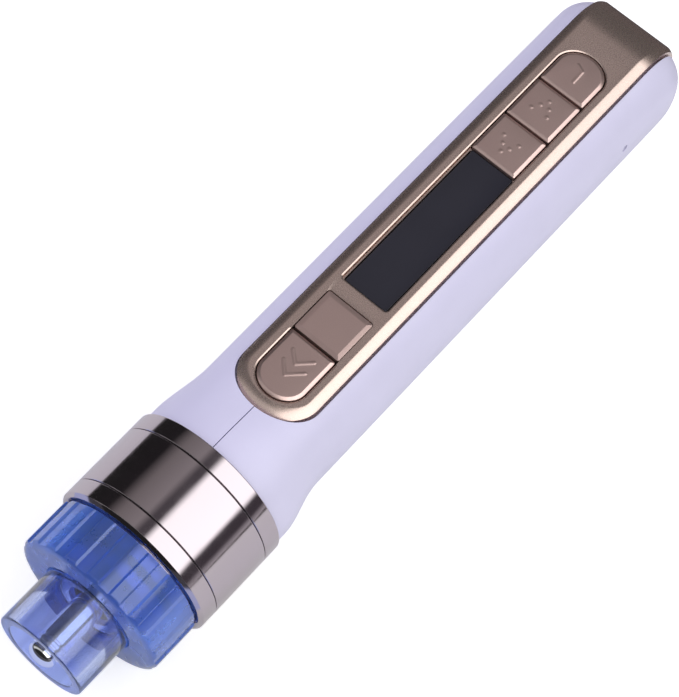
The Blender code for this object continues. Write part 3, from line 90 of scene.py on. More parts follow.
# Places that the frame gives: the axis, the rings' front face and their radius
RING_LOW, RING_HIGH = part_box("front_ring")
RING_FRONT = RING_LOW.x
AXIS_Z = (RING_LOW.z + RING_HIGH.z) / 2
RING_R = (RING_HIGH.z - RING_LOW.z) / 2


def station_of(x):
    """The station along the pen of a place in the frame."""
    return x - RING_FRONT


def span(node):
    """The first and last station of a node of the frame."""
    low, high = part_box(node)
    return station_of(low.x), station_of(high.x)


# Sizes of the head that the boxes of the frame don't give
RING_WALL = 2.1 * MM
RING_LEAD = 0.7 * MM
SEAT_GAP = 0.3 * MM
RUN_GAP = 0.2 * MM
NOZZLE_R = 10.15 * MM
NOZZLE_WALL = 2.35 * MM
NOZZLE_CUP_DEPTH = 13.4 * MM
NOZZLE_FLOOR = 1.0 * MM
COLLAR_R = 17.0 * MM
COLLAR_BORE_R = 12.3 * MM
COLLAR_LIP = 1.2 * MM
COLLAR_FACE_R = 15.2 * MM
COLLAR_FACE_DROP = 1.1 * MM
CORE_FLANGE_R = 15.4 * MM
CORE_FLANGE_LENGTH = 0.5 * MM
CORE_FRONT_WALL = 2.0 * MM
CORE_CAVITY_R = 9.0 * MM
CORE_WEB_AT = 10.5 * MM
CORE_WEB = 1.8 * MM
CORE_TAIL_LENGTH = 2.6 * MM
CORE_TAIL_R = 13.3 * MM
MOTOR_R = 12.0 * MM
MOTOR_BOSS_R = 3.0 * MM
SEAL_R = 0.6 * MM
SEAL_GROOVE_WIDTH = 1.8 * MM
SEAL_GROOVE_DEPTH = 1.1 * MM
ROD_R = 3.15 * MM
SPRING_WIRE_R = 0.25 * MM
SPRING_TURNS = 3
ROD_HEAD_AT = 2.4 * MM
ROD_HEAD_THICK = 1.2 * MM
ROD_HEAD_R = 5.4 * MM
NUB_R = 1.2 * MM
NUB_OFFSET = 3.6 * MM
BUSH_R = 4.7 * MM
BUSH_HEAD_R = 5.4 * MM
WIPER_THICK = 0.8 * MM

# Sizes of the grip and its panel
GRIP_HALF_WIDTH = 15.05 * MM
GRIP_TOP = 15.5 * MM
GRIP_BELLY = 18.7 * MM
GRIP_WIDEST_AT = 1.5 * MM
GRIP_TOP_POWER = 2.4
GRIP_BELLY_POWER = 2.1
GRIP_WALL = 2.0 * MM
GRIP_FRONT, GRIP_END = span("shell_right")
NECK_HALF_WIDTH = 17.3 * MM
NECK_TOP = 16.2 * MM
NECK_BELLY = 17.5 * MM
NECK_STRAIGHT_END = 25.5 * MM
NECK_END = 39.0 * MM
NECK_FLARE_POWER = 1.3
TAIL_PLAN_ROUND = 9.0 * MM
TAIL_ROUND = 13.0 * MM
CAVITY_END_WALL = 5.0 * MM
CAVITY_ROUND = 6.0 * MM
CAVITY_POWER = 2.6
CAVITY_CEILING = 10.0 * MM
CAVITY_NECK_CEILING = 13.8 * MM
CAVITY_NECK_END = 36.1 * MM
CAVITY_MOTOR_END = 32.6 * MM
PANEL_FRONT, PANEL_END = span("panel_frame")
PANEL_HALF_WIDTH = 9.15 * MM
PANEL_FACE = 15.3 * MM
PANEL_THICK = 2.9 * MM
PANEL_NOSE_LENGTH = 7.55 * MM
PANEL_NOSE_POWER = 2.0
PANEL_WRAP_R = 13.0 * MM
PANEL_WRAP_DROP = 2.5 * MM
PANEL_END_SHARE = 0.33
LEDGE_HALF_GAP = 7.0 * MM
KEY_HALF_WIDTH = 5.45 * MM
KEY_END_LENGTH = 4.6 * MM
KEY_ROUND = 0.4 * MM
KEY_PROUD = 0.3 * MM
KEY_DEPTH = 2.7 * MM
STEM_R = 1.5 * MM
POST_R = 1.8 * MM
SCREW_R = 1.1 * MM
SCREW_HEAD_R = 2.2 * MM
SCREW_HEAD = 1.7 * MM
SCREW_BITE = 6.0 * MM
BOSS_R = 3.0 * MM
BOSS_HEAD_FLOOR = 9.4 * MM
PINHOLE_AT = 133.5 * MM
PINHOLE_ABOVE = 3.8 * MM
PINHOLE_R = 0.8 * MM
SOCKET_R = 4.2 * MM
SOCKET_BORE_R = 2.9 * MM
SOCKET_PIN_R = 0.9 * MM
SOCKET_DEPTH = 9.5 * MM
SOCKET_PIN_SHORT = 1.2 * MM

RINGS = ("front_ring", "barrel_ring", "rear_ring")
KEYS = ("start_key", "blank_key", "down_key", "up_key", "power_key")
SCREWS = ("front_upper", "front_lower", "rear_upper", "rear_lower")


def linear(code):
    """An sRGB hex colour as linear values."""
    levels = np.array([int(code[k : k + 2], 16) for k in (1, 3, 5)]) / 255
    low, high = levels / 12.92, ((levels + 0.055) / 1.055) ** 2.4
    return tuple(float(value) for value in np.where(levels <= 0.04045, low, high))


def length(name, description, default):
    """A length that a user may change."""
    return FloatProperty(
        name=name, description=description, default=default, min=0, precision=5, unit="LENGTH", subtype="DISTANCE"
    )


def colour(name, description, code):
    """A colour that a user may change."""
    return FloatVectorProperty(
        name=name, description=description, default=linear(code), size=3, min=0, max=1, subtype="COLOR"
    )


class PenSizes(bpy.types.PropertyGroup):
    """Sizes of the finer forms."""

    ring_edge: length("Ring edge", "Width of the metal rings' broken edges at the grooves", 0.14 * MM)
    ring_groove: length("Ring groove", "Gap between one metal ring and the next", 0.12 * MM)
    nozzle_rim: length("Nozzle rim", "Round of the clear nozzle's rim", 0.45 * MM)
    rib_count: IntProperty(name="Ribs", description="Ribs round the depth collar", default=19, min=3)
    rib_depth: length("Rib depth", "How deep the grooves between the ribs are", 0.4 * MM)
    rib_edge: length("Rib edge", "Width of the slope at each side of a rib", 0.45 * MM)
    rod_dome: length("Rod dome", "Length of the rod's domed tip", 2.0 * MM)
    rod_groove_first: length("First groove", "From the rod's tip to its first turned groove", 2.05 * MM)
    rod_groove_pitch: length("Groove pitch", "From one turned groove of the rod to the next", 1.25 * MM)
    rod_groove_width: length("Groove width", "Width of the rod's turned grooves", 0.6 * MM)
    rod_groove_depth: length("Groove depth", "Depth of the rod's turned grooves", 0.3 * MM)
    seam: length("Seam", "Gap between the two grip shells", 0.2 * MM)
    panel_gap: length("Panel gap", "Gap between the key panel and the grip round it", 0.42 * MM)
    panel_edge: length("Panel edge", "Width of the key panel's shoulder", 2.1 * MM)
    nose_edge: length("Nose edge", "Width of the key panel's shoulder round its nose", 2.8 * MM)
    key_edge: length("Key edge", "Width of the keys' shoulder", 0.75 * MM)
    blank_edge: length("Blank key edge", "Width of the blank key's shallow bevel", 1.05 * MM)
    slot_edge: length("Slot edge", "Width of the broken edge round the panel's slots", 0.3 * MM)
    glass_ledge: length("Glass ledge", "Width of the ledge that the display glass lies beside", 0.5 * MM)
    mark_width: length("Mark width", "Width of the raised marks on the keys", 1.1 * MM)
    mark_height: length("Mark height", "How far the marks stand above the keys", 0.09 * MM)


class PenColours(bpy.types.PropertyGroup):
    """Colours of the finishes."""

    nozzle_blue: colour("Nozzle blue", "Tint of the thin clear nozzle", "#BECBF6")
    collar_blue: colour("Collar blue", "Tint of the thick clear collar", "#6C9BFF")
    nickel: colour("Nickel", "Polished nickel of the rings and nose", "#C3B9BE")
    steel: colour("Steel", "Polished steel of the push rod", "#EDEDF0")
    lilac: colour("Lilac white", "The grip shells", "#D8D5EE")
    rose: colour("Rose gold", "The key panel", "#DDC6BC")
    key_rose: colour("Key rose gold", "The keys, a little pinker than the panel", "#DFC3BC")
    glass: colour("Display glass", "The tinted display window", "#26262F")
    black: colour("Black", "Black mouldings and rubber", "#151517")
    board: colour("Board green", "Solder mask of the control board", "#1E6B3F")
    brass: colour("Brass", "The turned cam", "#D9B35A")
    sleeve: colour("Battery sleeve", "Shrink sleeve of the cell", "#2F62A8")
    red: colour("Red lead", "Insulation of the red leads", "#B32020")


# Shapes


def seat(station, side, height):
    """Points in the frame from stations, sides and heights: (front + station, side, axis + height)."""
    station, side, height = np.broadcast_arrays(station, side, height)
    return np.stack([RING_FRONT + station, side, AXIS_Z + height], axis=-1)


def finish_mesh(mesh, sharp=35):
    """Merge doubled points, turn the faces outwards and shade smooth between edges sharper than this."""
    work = bmesh.new()
    work.from_mesh(mesh)
    bmesh.ops.remove_doubles(work, verts=work.verts, dist=MERGE)
    bmesh.ops.dissolve_degenerate(work, dist=MERGE, edges=work.edges)
    bmesh.ops.recalc_face_normals(work, faces=work.faces)
    work.to_mesh(mesh)
    work.free()
    mesh.shade_smooth()
    mesh.set_sharp_from_angle(angle=radians(sharp))
    return mesh


def grid_mesh(name, *grids, sharp=35):
    """A mesh of quads over grids of points, each given with how it closes.

    A grid is (points, rows close, columns close, capped): each quad joins point (i, j) with (i + 1, j),
    (i + 1, j + 1) and (i, j + 1), and a capped grid has a flat face on its first and its last row.
    """
    points, faces, count = [], [], 0
    for grid, rows_close, columns_close, capped in grids:
        rows, columns = grid.shape[:2]
        corner = np.arange(rows * columns).reshape(rows, columns) + count
        points.append(grid.reshape(-1, 3))
        count += rows * columns
        if capped:
            faces += [corner[0].tolist(), corner[-1].tolist()]
        if rows_close:
            corner = np.vstack([corner, corner[:1]])
        if columns_close:
            corner = np.hstack([corner, corner[:, :1]])
        quads = np.stack([corner[:-1, :-1], corner[1:, :-1], corner[1:, 1:], corner[:-1, 1:]], axis=-1)
        faces += quads.reshape(-1, 4).tolist()
    mesh = bpy.data.meshes.new(name)
    mesh.from_pydata(np.concatenate(points).tolist(), [], faces)
    return finish_mesh(mesh, sharp)


def combined(name, mesh, steps, sharp=35):
    """Cut from a mesh, join to it or keep of it what other meshes cover, one after another."""
    scene = bpy.context.scene.collection.objects
    whole = bpy.data.objects.new(name + "_work", mesh)
    scene.link(whole)
    tools = []
    for operation, other in steps:
        tool = bpy.data.objects.new(other.name + "_tool", other)
        scene.link(tool)
        tools.append(tool)
        modifier = whole.modifiers.new(operation, "BOOLEAN")
        modifier.operation = operation
        modifier.solver = "MANIFOLD"
        modifier.object = tool
    bpy.context.view_layer.update()
    graph = bpy.context.evaluated_depsgraph_get()
    result = bpy.data.meshes.new_from_object(whole.evaluated_get(graph))
    result.name = name
    for used in (whole, *tools):
        bpy.data.objects.remove(used)
    if not result.polygons:
        raise RuntimeError(f"nothing is left of {name} after its cuts")
    return finish_mesh(result, sharp)


def rounded(corners, radii, points=6):
    """A closed line with rounded corners: (1 - s)^2 a + 2 s (1 - s) corner + s^2 b at each.

    a and b lie on the two sides of a corner, its radius away, or nearly half the side where it is short.
    """
    corners = np.array(corners, float)
    radii = np.broadcast_to(np.array(radii, float), len(corners))[:, None]
    ends = []
    for other in (np.roll(corners, 1, axis=0), np.roll(corners, -1, axis=0)):
        side = other - corners
        reach = np.maximum(np.linalg.norm(side, axis=1, keepdims=True), MERGE)
        ends.append((corners + side / reach * np.minimum(radii, 0.45 * reach))[:, None])
    s = np.linspace(0, 1, points)[None, :, None]
    line = (1 - s) ** 2 * ends[0] + 2 * s * (1 - s) * corners[:, None] + s**2 * ends[1]
    return line.reshape(-1, 2)


def turned(profile, steps=128, middle=(0, 0, 0), axis="X"):
    """A profile of (along, radius) turned about an axis through middle.

    The points are middle + along on the axis + radius cos(t) and radius sin(t) across it, for t once round.
    """
    profile = np.array(profile, float)
    turn = np.linspace(0, 2 * pi, steps, endpoint=False)[:, None]
    along, across, up = profile[:, 0] + 0 * turn, profile[:, 1] * np.cos(turn), profile[:, 1] * np.sin(turn)
    parts = {"X": (along, across, up), "Y": (across, along, up), "Z": (across, up, along)}[axis]
    return seat(*(start + part for start, part in zip(middle, parts)))


def ring_mesh(name, corners, radii, steps=128, **place):
    """A closed profile with rounded corners, turned into a ring."""
    return grid_mesh(name, (turned(rounded(corners, radii), steps, **place), True, True, False))


def round_mesh(name, profile, steps=96, **place):
    """An open profile that starts and ends on the axis, turned into a solid."""
    return grid_mesh(name, (turned(profile, steps, **place), True, False, False))


def rod_mesh(name, start, end, radius, axis="Y", steps=32):
    """A plain cylinder between two points that differ along one axis."""
    reach = dict(X=0, Y=1, Z=2)[axis]
    middle = [0 if k == reach else start[k] for k in range(3)]
    profile = [(start[reach], 0), (start[reach], radius), (end[reach], radius), (end[reach], 0)]
    return round_mesh(name, profile, steps, middle=middle, axis=axis)


def block_mesh(name, low, high):
    """A plain block between two corners, as a four-sided tube with capped ends."""
    side = np.array([low[1], high[1], high[1], low[1]])
    height = np.array([low[2], low[2], high[2], high[2]])
    return grid_mesh(name, (seat(np.array([[low[0]], [high[0]]]), side, height), False, True, True))


# Slopes of a shoulder in degrees: at its wall, just inside, near the face and at the face
ROUND_SHOULDER = (84, 36, 24, 0)
PLAIN_SHOULDER = (37, 36, 15, 0)
BLANK_SHOULDER = (10, 10, 10, 0)


def edge_fall(width, slopes=ROUND_SHOULDER, steps=22):
    """A shoulder's line: how far in it has come, and how far it still is below the face there.

    The slope runs between the four given ones, and the fall is the running sum of step times tan(slope),
    taken from the face outwards.
    """
    come = width * np.linspace(0, 1, steps) ** 1.4
    slope = np.radians(np.interp(come / width, (0, 0.07, 0.88, 1), slopes))
    fall = np.diff(come) * np.tan((slope[1:] + slope[:-1]) / 2)
    return come, np.append(np.cumsum(fall[::-1])[::-1], 0)


def outline(ends, half, rounds, grow=0.0, steps=14):
    """A key's plan as a closed line of (station, side), from quarter ellipses at its four corners.

    A corner's points are end + length (1 - cos t) and half - across + across sin t. At a round end the
    two quarters meet in the middle; elsewhere they are small.
    """
    turn = np.linspace(0, pi / 2, steps)
    half = half + grow
    lines = []
    for end, is_round, side in zip((ends[0] - grow, ends[1] + grow), rounds, (1, -1)):
        small = max(KEY_ROUND + grow, KEY_ROUND / 8)
        reach, across = (KEY_END_LENGTH + grow, half) if is_round else (small, small)
        for corner, t in ((1, turn[::-1]), (-1, turn)):
            x = end + side * reach * (1 - np.cos(t))
            lines.append(np.stack([x, side * corner * (half - across + across * np.sin(t))], axis=1))
    return np.concatenate(lines)


def slab_mesh(name, ends, half, rounds, top, depth, edge, slopes=ROUND_SHOULDER):
    """A plate with a key's plan: up its wall, then in over its shoulder to a flat top."""
    come, fall = edge_fall(edge, slopes)
    rows = [seat(*outline(ends, half, rounds).T, top - depth)]
    rows += [seat(*outline(ends, half, rounds, -inward).T, top - drop) for inward, drop in zip(come, fall)]
    return grid_mesh(name, (np.array(rows), False, True, True))


def slot_mesh(name, ends, half, rounds, edge, depth=PANEL_THICK + MM):
    """What is cut from the panel for a slot: straight up, then out over the slot's broken edge."""
    come, fall = edge_fall(edge)
    rows = [seat(*outline(ends, half, rounds, SEAT_GAP).T, PANEL_FACE - depth)]
    rows += [seat(*outline(ends, half, rounds, SEAT_GAP + out).T, PANEL_FACE - drop) for out, drop in zip(come, fall)]
    rows.append(seat(*outline(ends, half, rounds, SEAT_GAP + edge).T, PANEL_FACE + MM))
    return grid_mesh(name, (np.array(rows), False, True, True))


def stroke_mesh(name, start, end, radius, height, floor):
    """A raised stroke on a key: a soft bump of height (1 + cos(pi s)) / 2 at a share s of its radius out."""
    start, end = np.array(start, float), np.array(end, float)
    heading = np.arctan2(*(end - start)[::-1]) if np.any(end != start) else 0.0
    turn = np.linspace(0, 2 * pi, 40, endpoint=False) + heading + pi / 40
    middle = np.where((np.cos(turn - heading) > 0)[:, None], end, start)
    share = np.linspace(1, 0.02, 12)[:, None]
    out = radius * share
    rise = height * (1 + np.cos(pi * share)) / 2 - MERGE
    points = seat(middle[:, 0] + out * np.cos(turn), middle[:, 1] + out * np.sin(turn), floor + rise)
    base = points[:1].copy()
    base[..., 2] -= height
    return grid_mesh(name, (np.concatenate([base, points]), False, True, True))


def rounded_fall(x, start, radius):
    """How far a quarter round that starts at a station has fallen: r - sqrt(r^2 - past^2)."""
    past = np.clip((x - start) / radius, 0, 1)
    return radius * (1 - np.sqrt(1 - past * past))


def neck_flare(x):
    """The neck's flare: 1 at the rings, then (1 - 3 p^2 + 2 p^3) to a power, down to 0 at the grip."""
    past = np.clip((x - NECK_STRAIGHT_END) / (NECK_END - NECK_STRAIGHT_END), 0, 1)
    return (1 - past * past * (3 - 2 * past)) ** NECK_FLARE_POWER


def sections(x, half, top, belly, widest, top_power, belly_power, around, floor):
    """Sections across the pen: half |cos t|^(2/p) to the side, and height |sin t|^(2/p) up or down.

    All but the last two are given for each station. The rows are stations and the columns go round.
    """
    turn = 2 * pi * (np.arange(around) + 0.5) / around
    c, s = np.cos(turn), np.sin(turn)
    x, half, top, belly, widest, top_power, belly_power, floor = (
        np.broadcast_to(value, x.shape)[:, None] for value in (x, half, top, belly, widest, top_power, belly_power, floor)
    )
    power = np.where(s >= 0, top_power, belly_power)
    height = np.where(s >= 0, top - widest, belly + widest)
    side = half * np.sign(c) * np.abs(c) ** (2 / power)
    up = widest + height * np.sign(s) * np.abs(s) ** (2 / power)
    return seat(x + 0 * side, side, np.maximum(up, floor))


def grip_form():
    """The grip's outer form: flared neck, even grip, and a tail rounded in plan and from the side."""
    tail_start = GRIP_END - TAIL_ROUND
    x = np.concatenate(
        [
            [GRIP_FRONT, GRIP_FRONT + 0.12 * MM],
            np.linspace(NECK_STRAIGHT_END, NECK_END, 36),
            np.linspace(NECK_END, tail_start, 24)[1:-1],
            tail_start + TAIL_ROUND * np.sin(np.linspace(0, pi / 2, 36)),
        ]
    )
    flare = neck_flare(x)
    half = GRIP_HALF_WIDTH + (NECK_HALF_WIDTH - GRIP_HALF_WIDTH) * flare
    half = half - rounded_fall(x, GRIP_END - TAIL_PLAN_ROUND, TAIL_PLAN_ROUND)
    top = GRIP_TOP + (NECK_TOP - GRIP_TOP) * flare - rounded_fall(x, tail_start, TAIL_ROUND)
    lift = rounded_fall(x, tail_start, TAIL_ROUND)
    belly = GRIP_BELLY + (NECK_BELLY - GRIP_BELLY) * flare - lift
    widest = np.minimum(GRIP_WIDEST_AT * (1 - flare), top / 2)
    power = 2 + (GRIP_TOP_POWER - 2) * (1 - flare)
    points = sections(x, half, top, belly, widest, power, GRIP_BELLY_POWER, 168, lift - RING_R)
    # The front edge is broken a little, so that it catches the light
    points[0, :, 1] *= 1 - 0.12 * MM / NECK_HALF_WIDTH
    points[0, :, 2] = AXIS_Z + (points[0, :, 2] - AXIS_Z) * (1 - 0.12 * MM / NECK_HALF_WIDTH)
    return grid_mesh("grip_form", (points, False, True, True))


def grip_hollow():
    """The grip's hollow: wide round the motor, then under the panel's ledge to the tail wall."""
    rear = GRIP_END - CAVITY_END_WALL
    x = np.concatenate(
        [
            [GRIP_FRONT - MM, GRIP_FRONT, NECK_STRAIGHT_END, CAVITY_MOTOR_END, CAVITY_NECK_END],
            [rear - CAVITY_ROUND],
            rear - CAVITY_ROUND + CAVITY_ROUND * np.sin(np.linspace(0, pi / 2, 6))[1:],
        ]
    )
    low = np.clip((x - CAVITY_MOTOR_END) / (CAVITY_NECK_END - CAVITY_MOTOR_END), 0, 1)
    flare = neck_flare(x)
    fall = rounded_fall(x, rear - CAVITY_ROUND, CAVITY_ROUND)
    half = GRIP_HALF_WIDTH - GRIP_WALL + (NECK_HALF_WIDTH - GRIP_HALF_WIDTH) * flare - fall
    top = CAVITY_NECK_CEILING + (CAVITY_CEILING - CAVITY_NECK_CEILING) * low - fall
    belly = RING_R - GRIP_WALL - (RING_R - NECK_BELLY) * flare - fall
    widest = GRIP_WIDEST_AT * (1 - flare)
    points = sections(x, half, top, belly, widest, CAVITY_POWER, CAVITY_POWER - low / 2, 48, -RING_R)
    return grid_mesh("grip_hollow", (points, False, True, True))


def panel_line():
    """The panel's edge line, from its tip round its nose, along the grip and down over the tail.

    Returns the station, side and height of its points, the direction out of the face there as
    (station, height), the direction inwards from the edge in plan, and how far the wrap has come. The nose
    is length (1 - cos(t)^(2/p)) back and half sin(t)^(2/p) to the side, and the wrap is a quarter circle.
    """
    t = np.linspace(0, pi / 2, 44)
    nose_x = PANEL_FRONT + PANEL_NOSE_LENGTH * (1 - np.abs(np.cos(t)) ** (2 / PANEL_NOSE_POWER))
    nose_y = PANEL_HALF_WIDTH * np.sin(t) ** (2 / PANEL_NOSE_POWER)
    wrap_at = PANEL_END - PANEL_WRAP_R
    flat_x = np.linspace(nose_x[-1], wrap_at, 12)[1:]
    turn = np.linspace(0, pi / 2, 40)[1:]
    done = np.concatenate([0 * t, 0 * flat_x, turn / turn[-1], [1]])
    angle = np.concatenate([0 * t, 0 * flat_x, turn, [pi / 2]])
    out = np.stack([np.sin(angle), np.cos(angle)], axis=1)
    station = np.concatenate([nose_x, flat_x, wrap_at + PANEL_WRAP_R * np.sin(turn), [PANEL_END]])
    height = PANEL_FACE - PANEL_WRAP_R * (1 - out[:, 1])
    height[-1] -= PANEL_WRAP_DROP
    side = np.concatenate([nose_y, np.full(len(station) - len(t), PANEL_HALF_WIDTH)])
    along = np.stack([np.gradient(nose_x), np.gradient(nose_y)], axis=1)
    along /= np.linalg.norm(along, axis=1, keepdims=True)
    inward = np.tile([0.0, -1.0], (len(station), 1))
    inward[: len(t)] = np.stack([along[:, 1], -along[:, 0]], axis=1)
    inward[0] = (1, 0)
    return station, side, height, out, inward, done


def panel_sections(come, fall, end_share, nose_share=1.0):
    """Closed sections of a band over the panel's line: points come in from the edge, fall below the face.

    Both shrink to end_share of themselves as the wrap comes to its end, and grow to nose_share at the tip,
    as the square of how far the edge there faces ahead. The left half is mirrored.
    """
    station, side, height, out, inward, done = panel_line()
    share = (1 + (end_share - 1) * done + (nose_share - 1) * inward[:, 0] ** 2)[:, None]
    come, fall = np.asarray(come) * share, np.asarray(fall) * np.where(np.asarray(fall) > 2 * MM, 1, share)
    x = station[:, None] + inward[:, :1] * come - out[:, :1] * fall
    y = np.maximum(side[:, None] + inward[:, 1:] * come, 0)
    z = height[:, None] - out[:, 1:] * fall
    left, right = seat(x, y, z), seat(x, -y, z)
    return np.concatenate([left, right[:, ::-1]], axis=1)


# Finishes


def add(tree, kind, inputs=(), **settings):
    """Add a shader node with its settings, and set or link its inputs by name or number."""
    node = tree.nodes.new(kind)
    for name, value in settings.items():
        setattr(node, name, value)
    for name, value in dict(inputs).items():
        if isinstance(value, bpy.types.NodeSocket):
            tree.links.new(value, node.inputs[name])
        else:
            node.inputs[name].default_value = value
    return node


def start(name, colour, **inputs):
    """A new material with its shader set, and the place on the piece in its own coordinates."""
    material = bpy.data.materials.new(name)
    material.use_nodes = True
    material.diffuse_color = (*colour, 1)
    tree = material.node_tree
    shader = tree.nodes["Principled BSDF"]
    shader.inputs["Base Color"].default_value = (*colour, 1)
    for socket, value in inputs.items():
        shader.inputs[socket.replace("_", " ")].default_value = value
    return material, tree, shader, add(tree, "ShaderNodeTexCoord").outputs["Object"]


def shade(colour, share):
    """A colour darkened or lightened by a share, as a socket value."""
    return (*(min(max(value * share, 0.0), 1.0) for value in colour), 1)


def speckle(tree, shader, where, colour, size, low, high, detail=2.0):
    """Let the colour wander between two shades of itself in grains of a real size."""
    grain = add(tree, "ShaderNodeTexNoise", {"Vector": where, "Scale": 1 / size, "Detail": detail})
    spread = add(tree, "ShaderNodeMapRange", {"Value": grain.outputs["Fac"], "From Min": 0.3, "From Max": 0.7})
    mix = add(
        tree,
        "ShaderNodeMix",
        {0: spread.outputs["Result"], 6: shade(colour, low), 7: shade(colour, high)},
        data_type="RGBA",
    )
    tree.links.new(mix.outputs[2], shader.inputs["Base Color"])
    return grain


def relief(tree, shader, height, depth, strength=1.0):
    """Let a height pattern bend the surface by a real depth."""
    bump = add(tree, "ShaderNodeBump", {"Height": height, "Distance": depth, "Strength": strength})
    tree.links.new(bump.outputs["Normal"], shader.inputs["Normal"])


def gloss(tree, shader, where, size, low, high, detail=3.0):
    """Let the roughness wander between two values in patches of a real size."""
    patch = add(tree, "ShaderNodeTexNoise", {"Vector": where, "Scale": 1 / size, "Detail": detail})
    spread = add(
        tree,
        "ShaderNodeMapRange",
        {"Value": patch.outputs["Fac"], "From Min": 0.3, "From Max": 0.7, "To Min": low, "To Max": high},
    )
    tree.links.new(spread.outputs["Result"], shader.inputs["Roughness"])
    return patch


def clear_polycarbonate(name, tint, transmission, frost, skin):
    """Clear tinted polycarbonate, injection moulded: light passes, and the outer skin is glossy."""
    material, tree, shader, where = start(
        name,
        tint,
        Roughness=frost,
        IOR=1.5,
        Transmission_Weight=transmission,
        Coat_Weight=1.0,
        Coat_Roughness=0.04,
        Coat_IOR=skin,
    )
    # Flow marks of the moulding, a few millimetres long, and a skin that isn't quite optical
    gloss(tree, shader, where, 3 * MM, 0.8 * frost, 1.2 * frost)
    flow = add(tree, "ShaderNodeTexNoise", {"Vector": where, "Scale": 1 / (4 * MM), "Detail": 1.0})
    relief(tree, shader, flow.outputs["Fac"], 0.006 * MM)
    return material


def clear_nozzle_polycarbonate(colours):
    """The nozzle's thin wall: a light blue that shows the rod inside."""
    return clear_polycarbonate("clear_nozzle_polycarbonate", colours.nozzle_blue, 0.95, 0.03, 1.4)


def clear_collar_polycarbonate(colours):
    """The collar's thick wall: a deeper, slightly milky blue that blurs the metal under it."""
    return clear_polycarbonate("clear_collar_polycarbonate", colours.collar_blue, 0.8, 0.3, 1.5)


def polished_nickel_plate(colours):
    """Bright nickel over turned brass: a warm mirror, a shade less even than glass."""
    material, tree, shader, where = start("polished_nickel_plate", colours.nickel, Metallic=1.0, Roughness=0.09)
    gloss(tree, shader, where, 5 * MM, 0.07, 0.13)
    # Turning marks round the ring, drawn at 0.12 mm to show
    lathe = add(tree, "ShaderNodeMapping", {"Vector": where, "Scale": (1 / (0.12 * MM), 8, 8)})
    marks = add(tree, "ShaderNodeTexNoise", {"Vector": lathe.outputs["Vector"], "Scale": 1.0, "Detail": 1.0})
    relief(tree, shader, marks.outputs["Fac"], 0.001 * MM)
    return material


def ground_stainless_steel(colours):
    """Ground and polished stainless steel: a cold mirror with faint lengthwise grinding."""
    material, tree, shader, where = start("ground_stainless_steel", colours.steel, Metallic=1.0, Roughness=0.08)
    gloss(tree, shader, where, 1.5 * MM, 0.06, 0.12)
    return material


def satin_lilac_abs(colours):
    """Injection-moulded ABS with a fine eroded texture: pale lilac with a soft, wide sheen."""
    material, tree, shader, where = start("satin_lilac_abs", colours.lilac, Roughness=0.4, IOR=1.54)
    speckle(tree, shader, where, colours.lilac, 9 * MM, 0.985, 1.015)
    gloss(tree, shader, where, 2 * MM, 0.36, 0.44)
    # The eroded grain of the mould is about 0.05 mm; it is drawn at 0.25 mm to show
    grain = add(tree, "ShaderNodeTexNoise", {"Vector": where, "Scale": 1 / (0.25 * MM), "Detail": 3.0})
    relief(tree, shader, grain.outputs["Fac"], 0.006 * MM)
    return material


def flake_lacquer(name, colour, dull):
    """Metal-flake lacquer, sprayed and baked: rose gold with a fine sparkle that follows the light."""
    material, tree, shader, where = start(
        name, colour, Metallic=0.92, Roughness=dull, Coat_Weight=0.25, Coat_Roughness=0.12
    )
    # Flakes are some 0.03 mm; they are drawn at 0.2 mm to show
    flakes = speckle(tree, shader, where, colour, 0.2 * MM, 0.97, 1.03, 2.0)
    gloss(tree, shader, where, 0.5 * MM, 0.9 * dull, 1.1 * dull)
    relief(tree, shader, flakes.outputs["Fac"], 0.0003 * MM)
    return material


def rose_gold_panel_lacquer(colours):
    """The key panel's lacquer, polished."""
    return flake_lacquer("rose_gold_panel_lacquer", colours.rose, 0.28)


def rose_gold_key_lacquer(colours):
    """The keys' lacquer, a little pinker and softer than the panel's."""
    return flake_lacquer("rose_gold_key_lacquer", colours.key_rose, 0.34)


def tinted_display_glass(colours):
    """Tinted hard-coated acrylic over a dark display: nearly black, with a clean reflection."""
    material, tree, shader, where = start("tinted_display_glass", colours.glass, Roughness=0.12, IOR=1.49)
    speckle(tree, shader, where, colours.glass, 12 * MM, 0.92, 1.08)
    gloss(tree, shader, where, 6 * MM, 0.1, 0.16)
    return material


def black_acetal(colours):
    """Turned black acetal: satin black with a slight waxy sheen."""
    material, tree, shader, where = start("black_acetal", colours.black, Roughness=0.4, IOR=1.48)
    speckle(tree, shader, where, colours.black, 1 * MM, 0.8, 1.2)
    gloss(tree, shader, where, 0.8 * MM, 0.34, 0.46)
    return material


def black_nylon(colours):
    """Moulded glass-filled nylon of switches and holders: matt black with pale specks of fibre."""
    material, tree, shader, where = start("black_nylon", colours.black, Roughness=0.55, IOR=1.53)
    speckle(tree, shader, where, colours.black, 0.3 * MM, 0.7, 1.6, 4.0)
    return material


def nitrile_rubber(colours):
    """Moulded nitrile rubber: dull black that soaks up light."""
    material, tree, shader, where = start("nitrile_rubber", colours.black, Roughness=0.75, IOR=1.52)
    speckle(tree, shader, where, colours.black, 0.4 * MM, 0.7, 1.3)
    return material


def green_solder_mask(colours):
    """Solder mask over copper tracks: glossy green with paler tracks under it."""
    material, tree, shader, where = start("green_solder_mask", colours.board, Roughness=0.35, IOR=1.5)
    # Tracks 0.6 mm apart
    tracks = add(
        tree,
        "ShaderNodeTexBrick",
        {
            "Vector": where,
            "Color1": shade(colours.board, 1.0),
            "Color2": shade(colours.board, 0.8),
            "Mortar": shade(colours.board, 1.7),
            "Scale": 1 / (2.4 * MM),
            "Mortar Size": 0.04,
        },
    )
    tree.links.new(tracks.outputs["Color"], shader.inputs["Base Color"])
    relief(tree, shader, tracks.outputs["Fac"], 0.02 * MM)
    return material


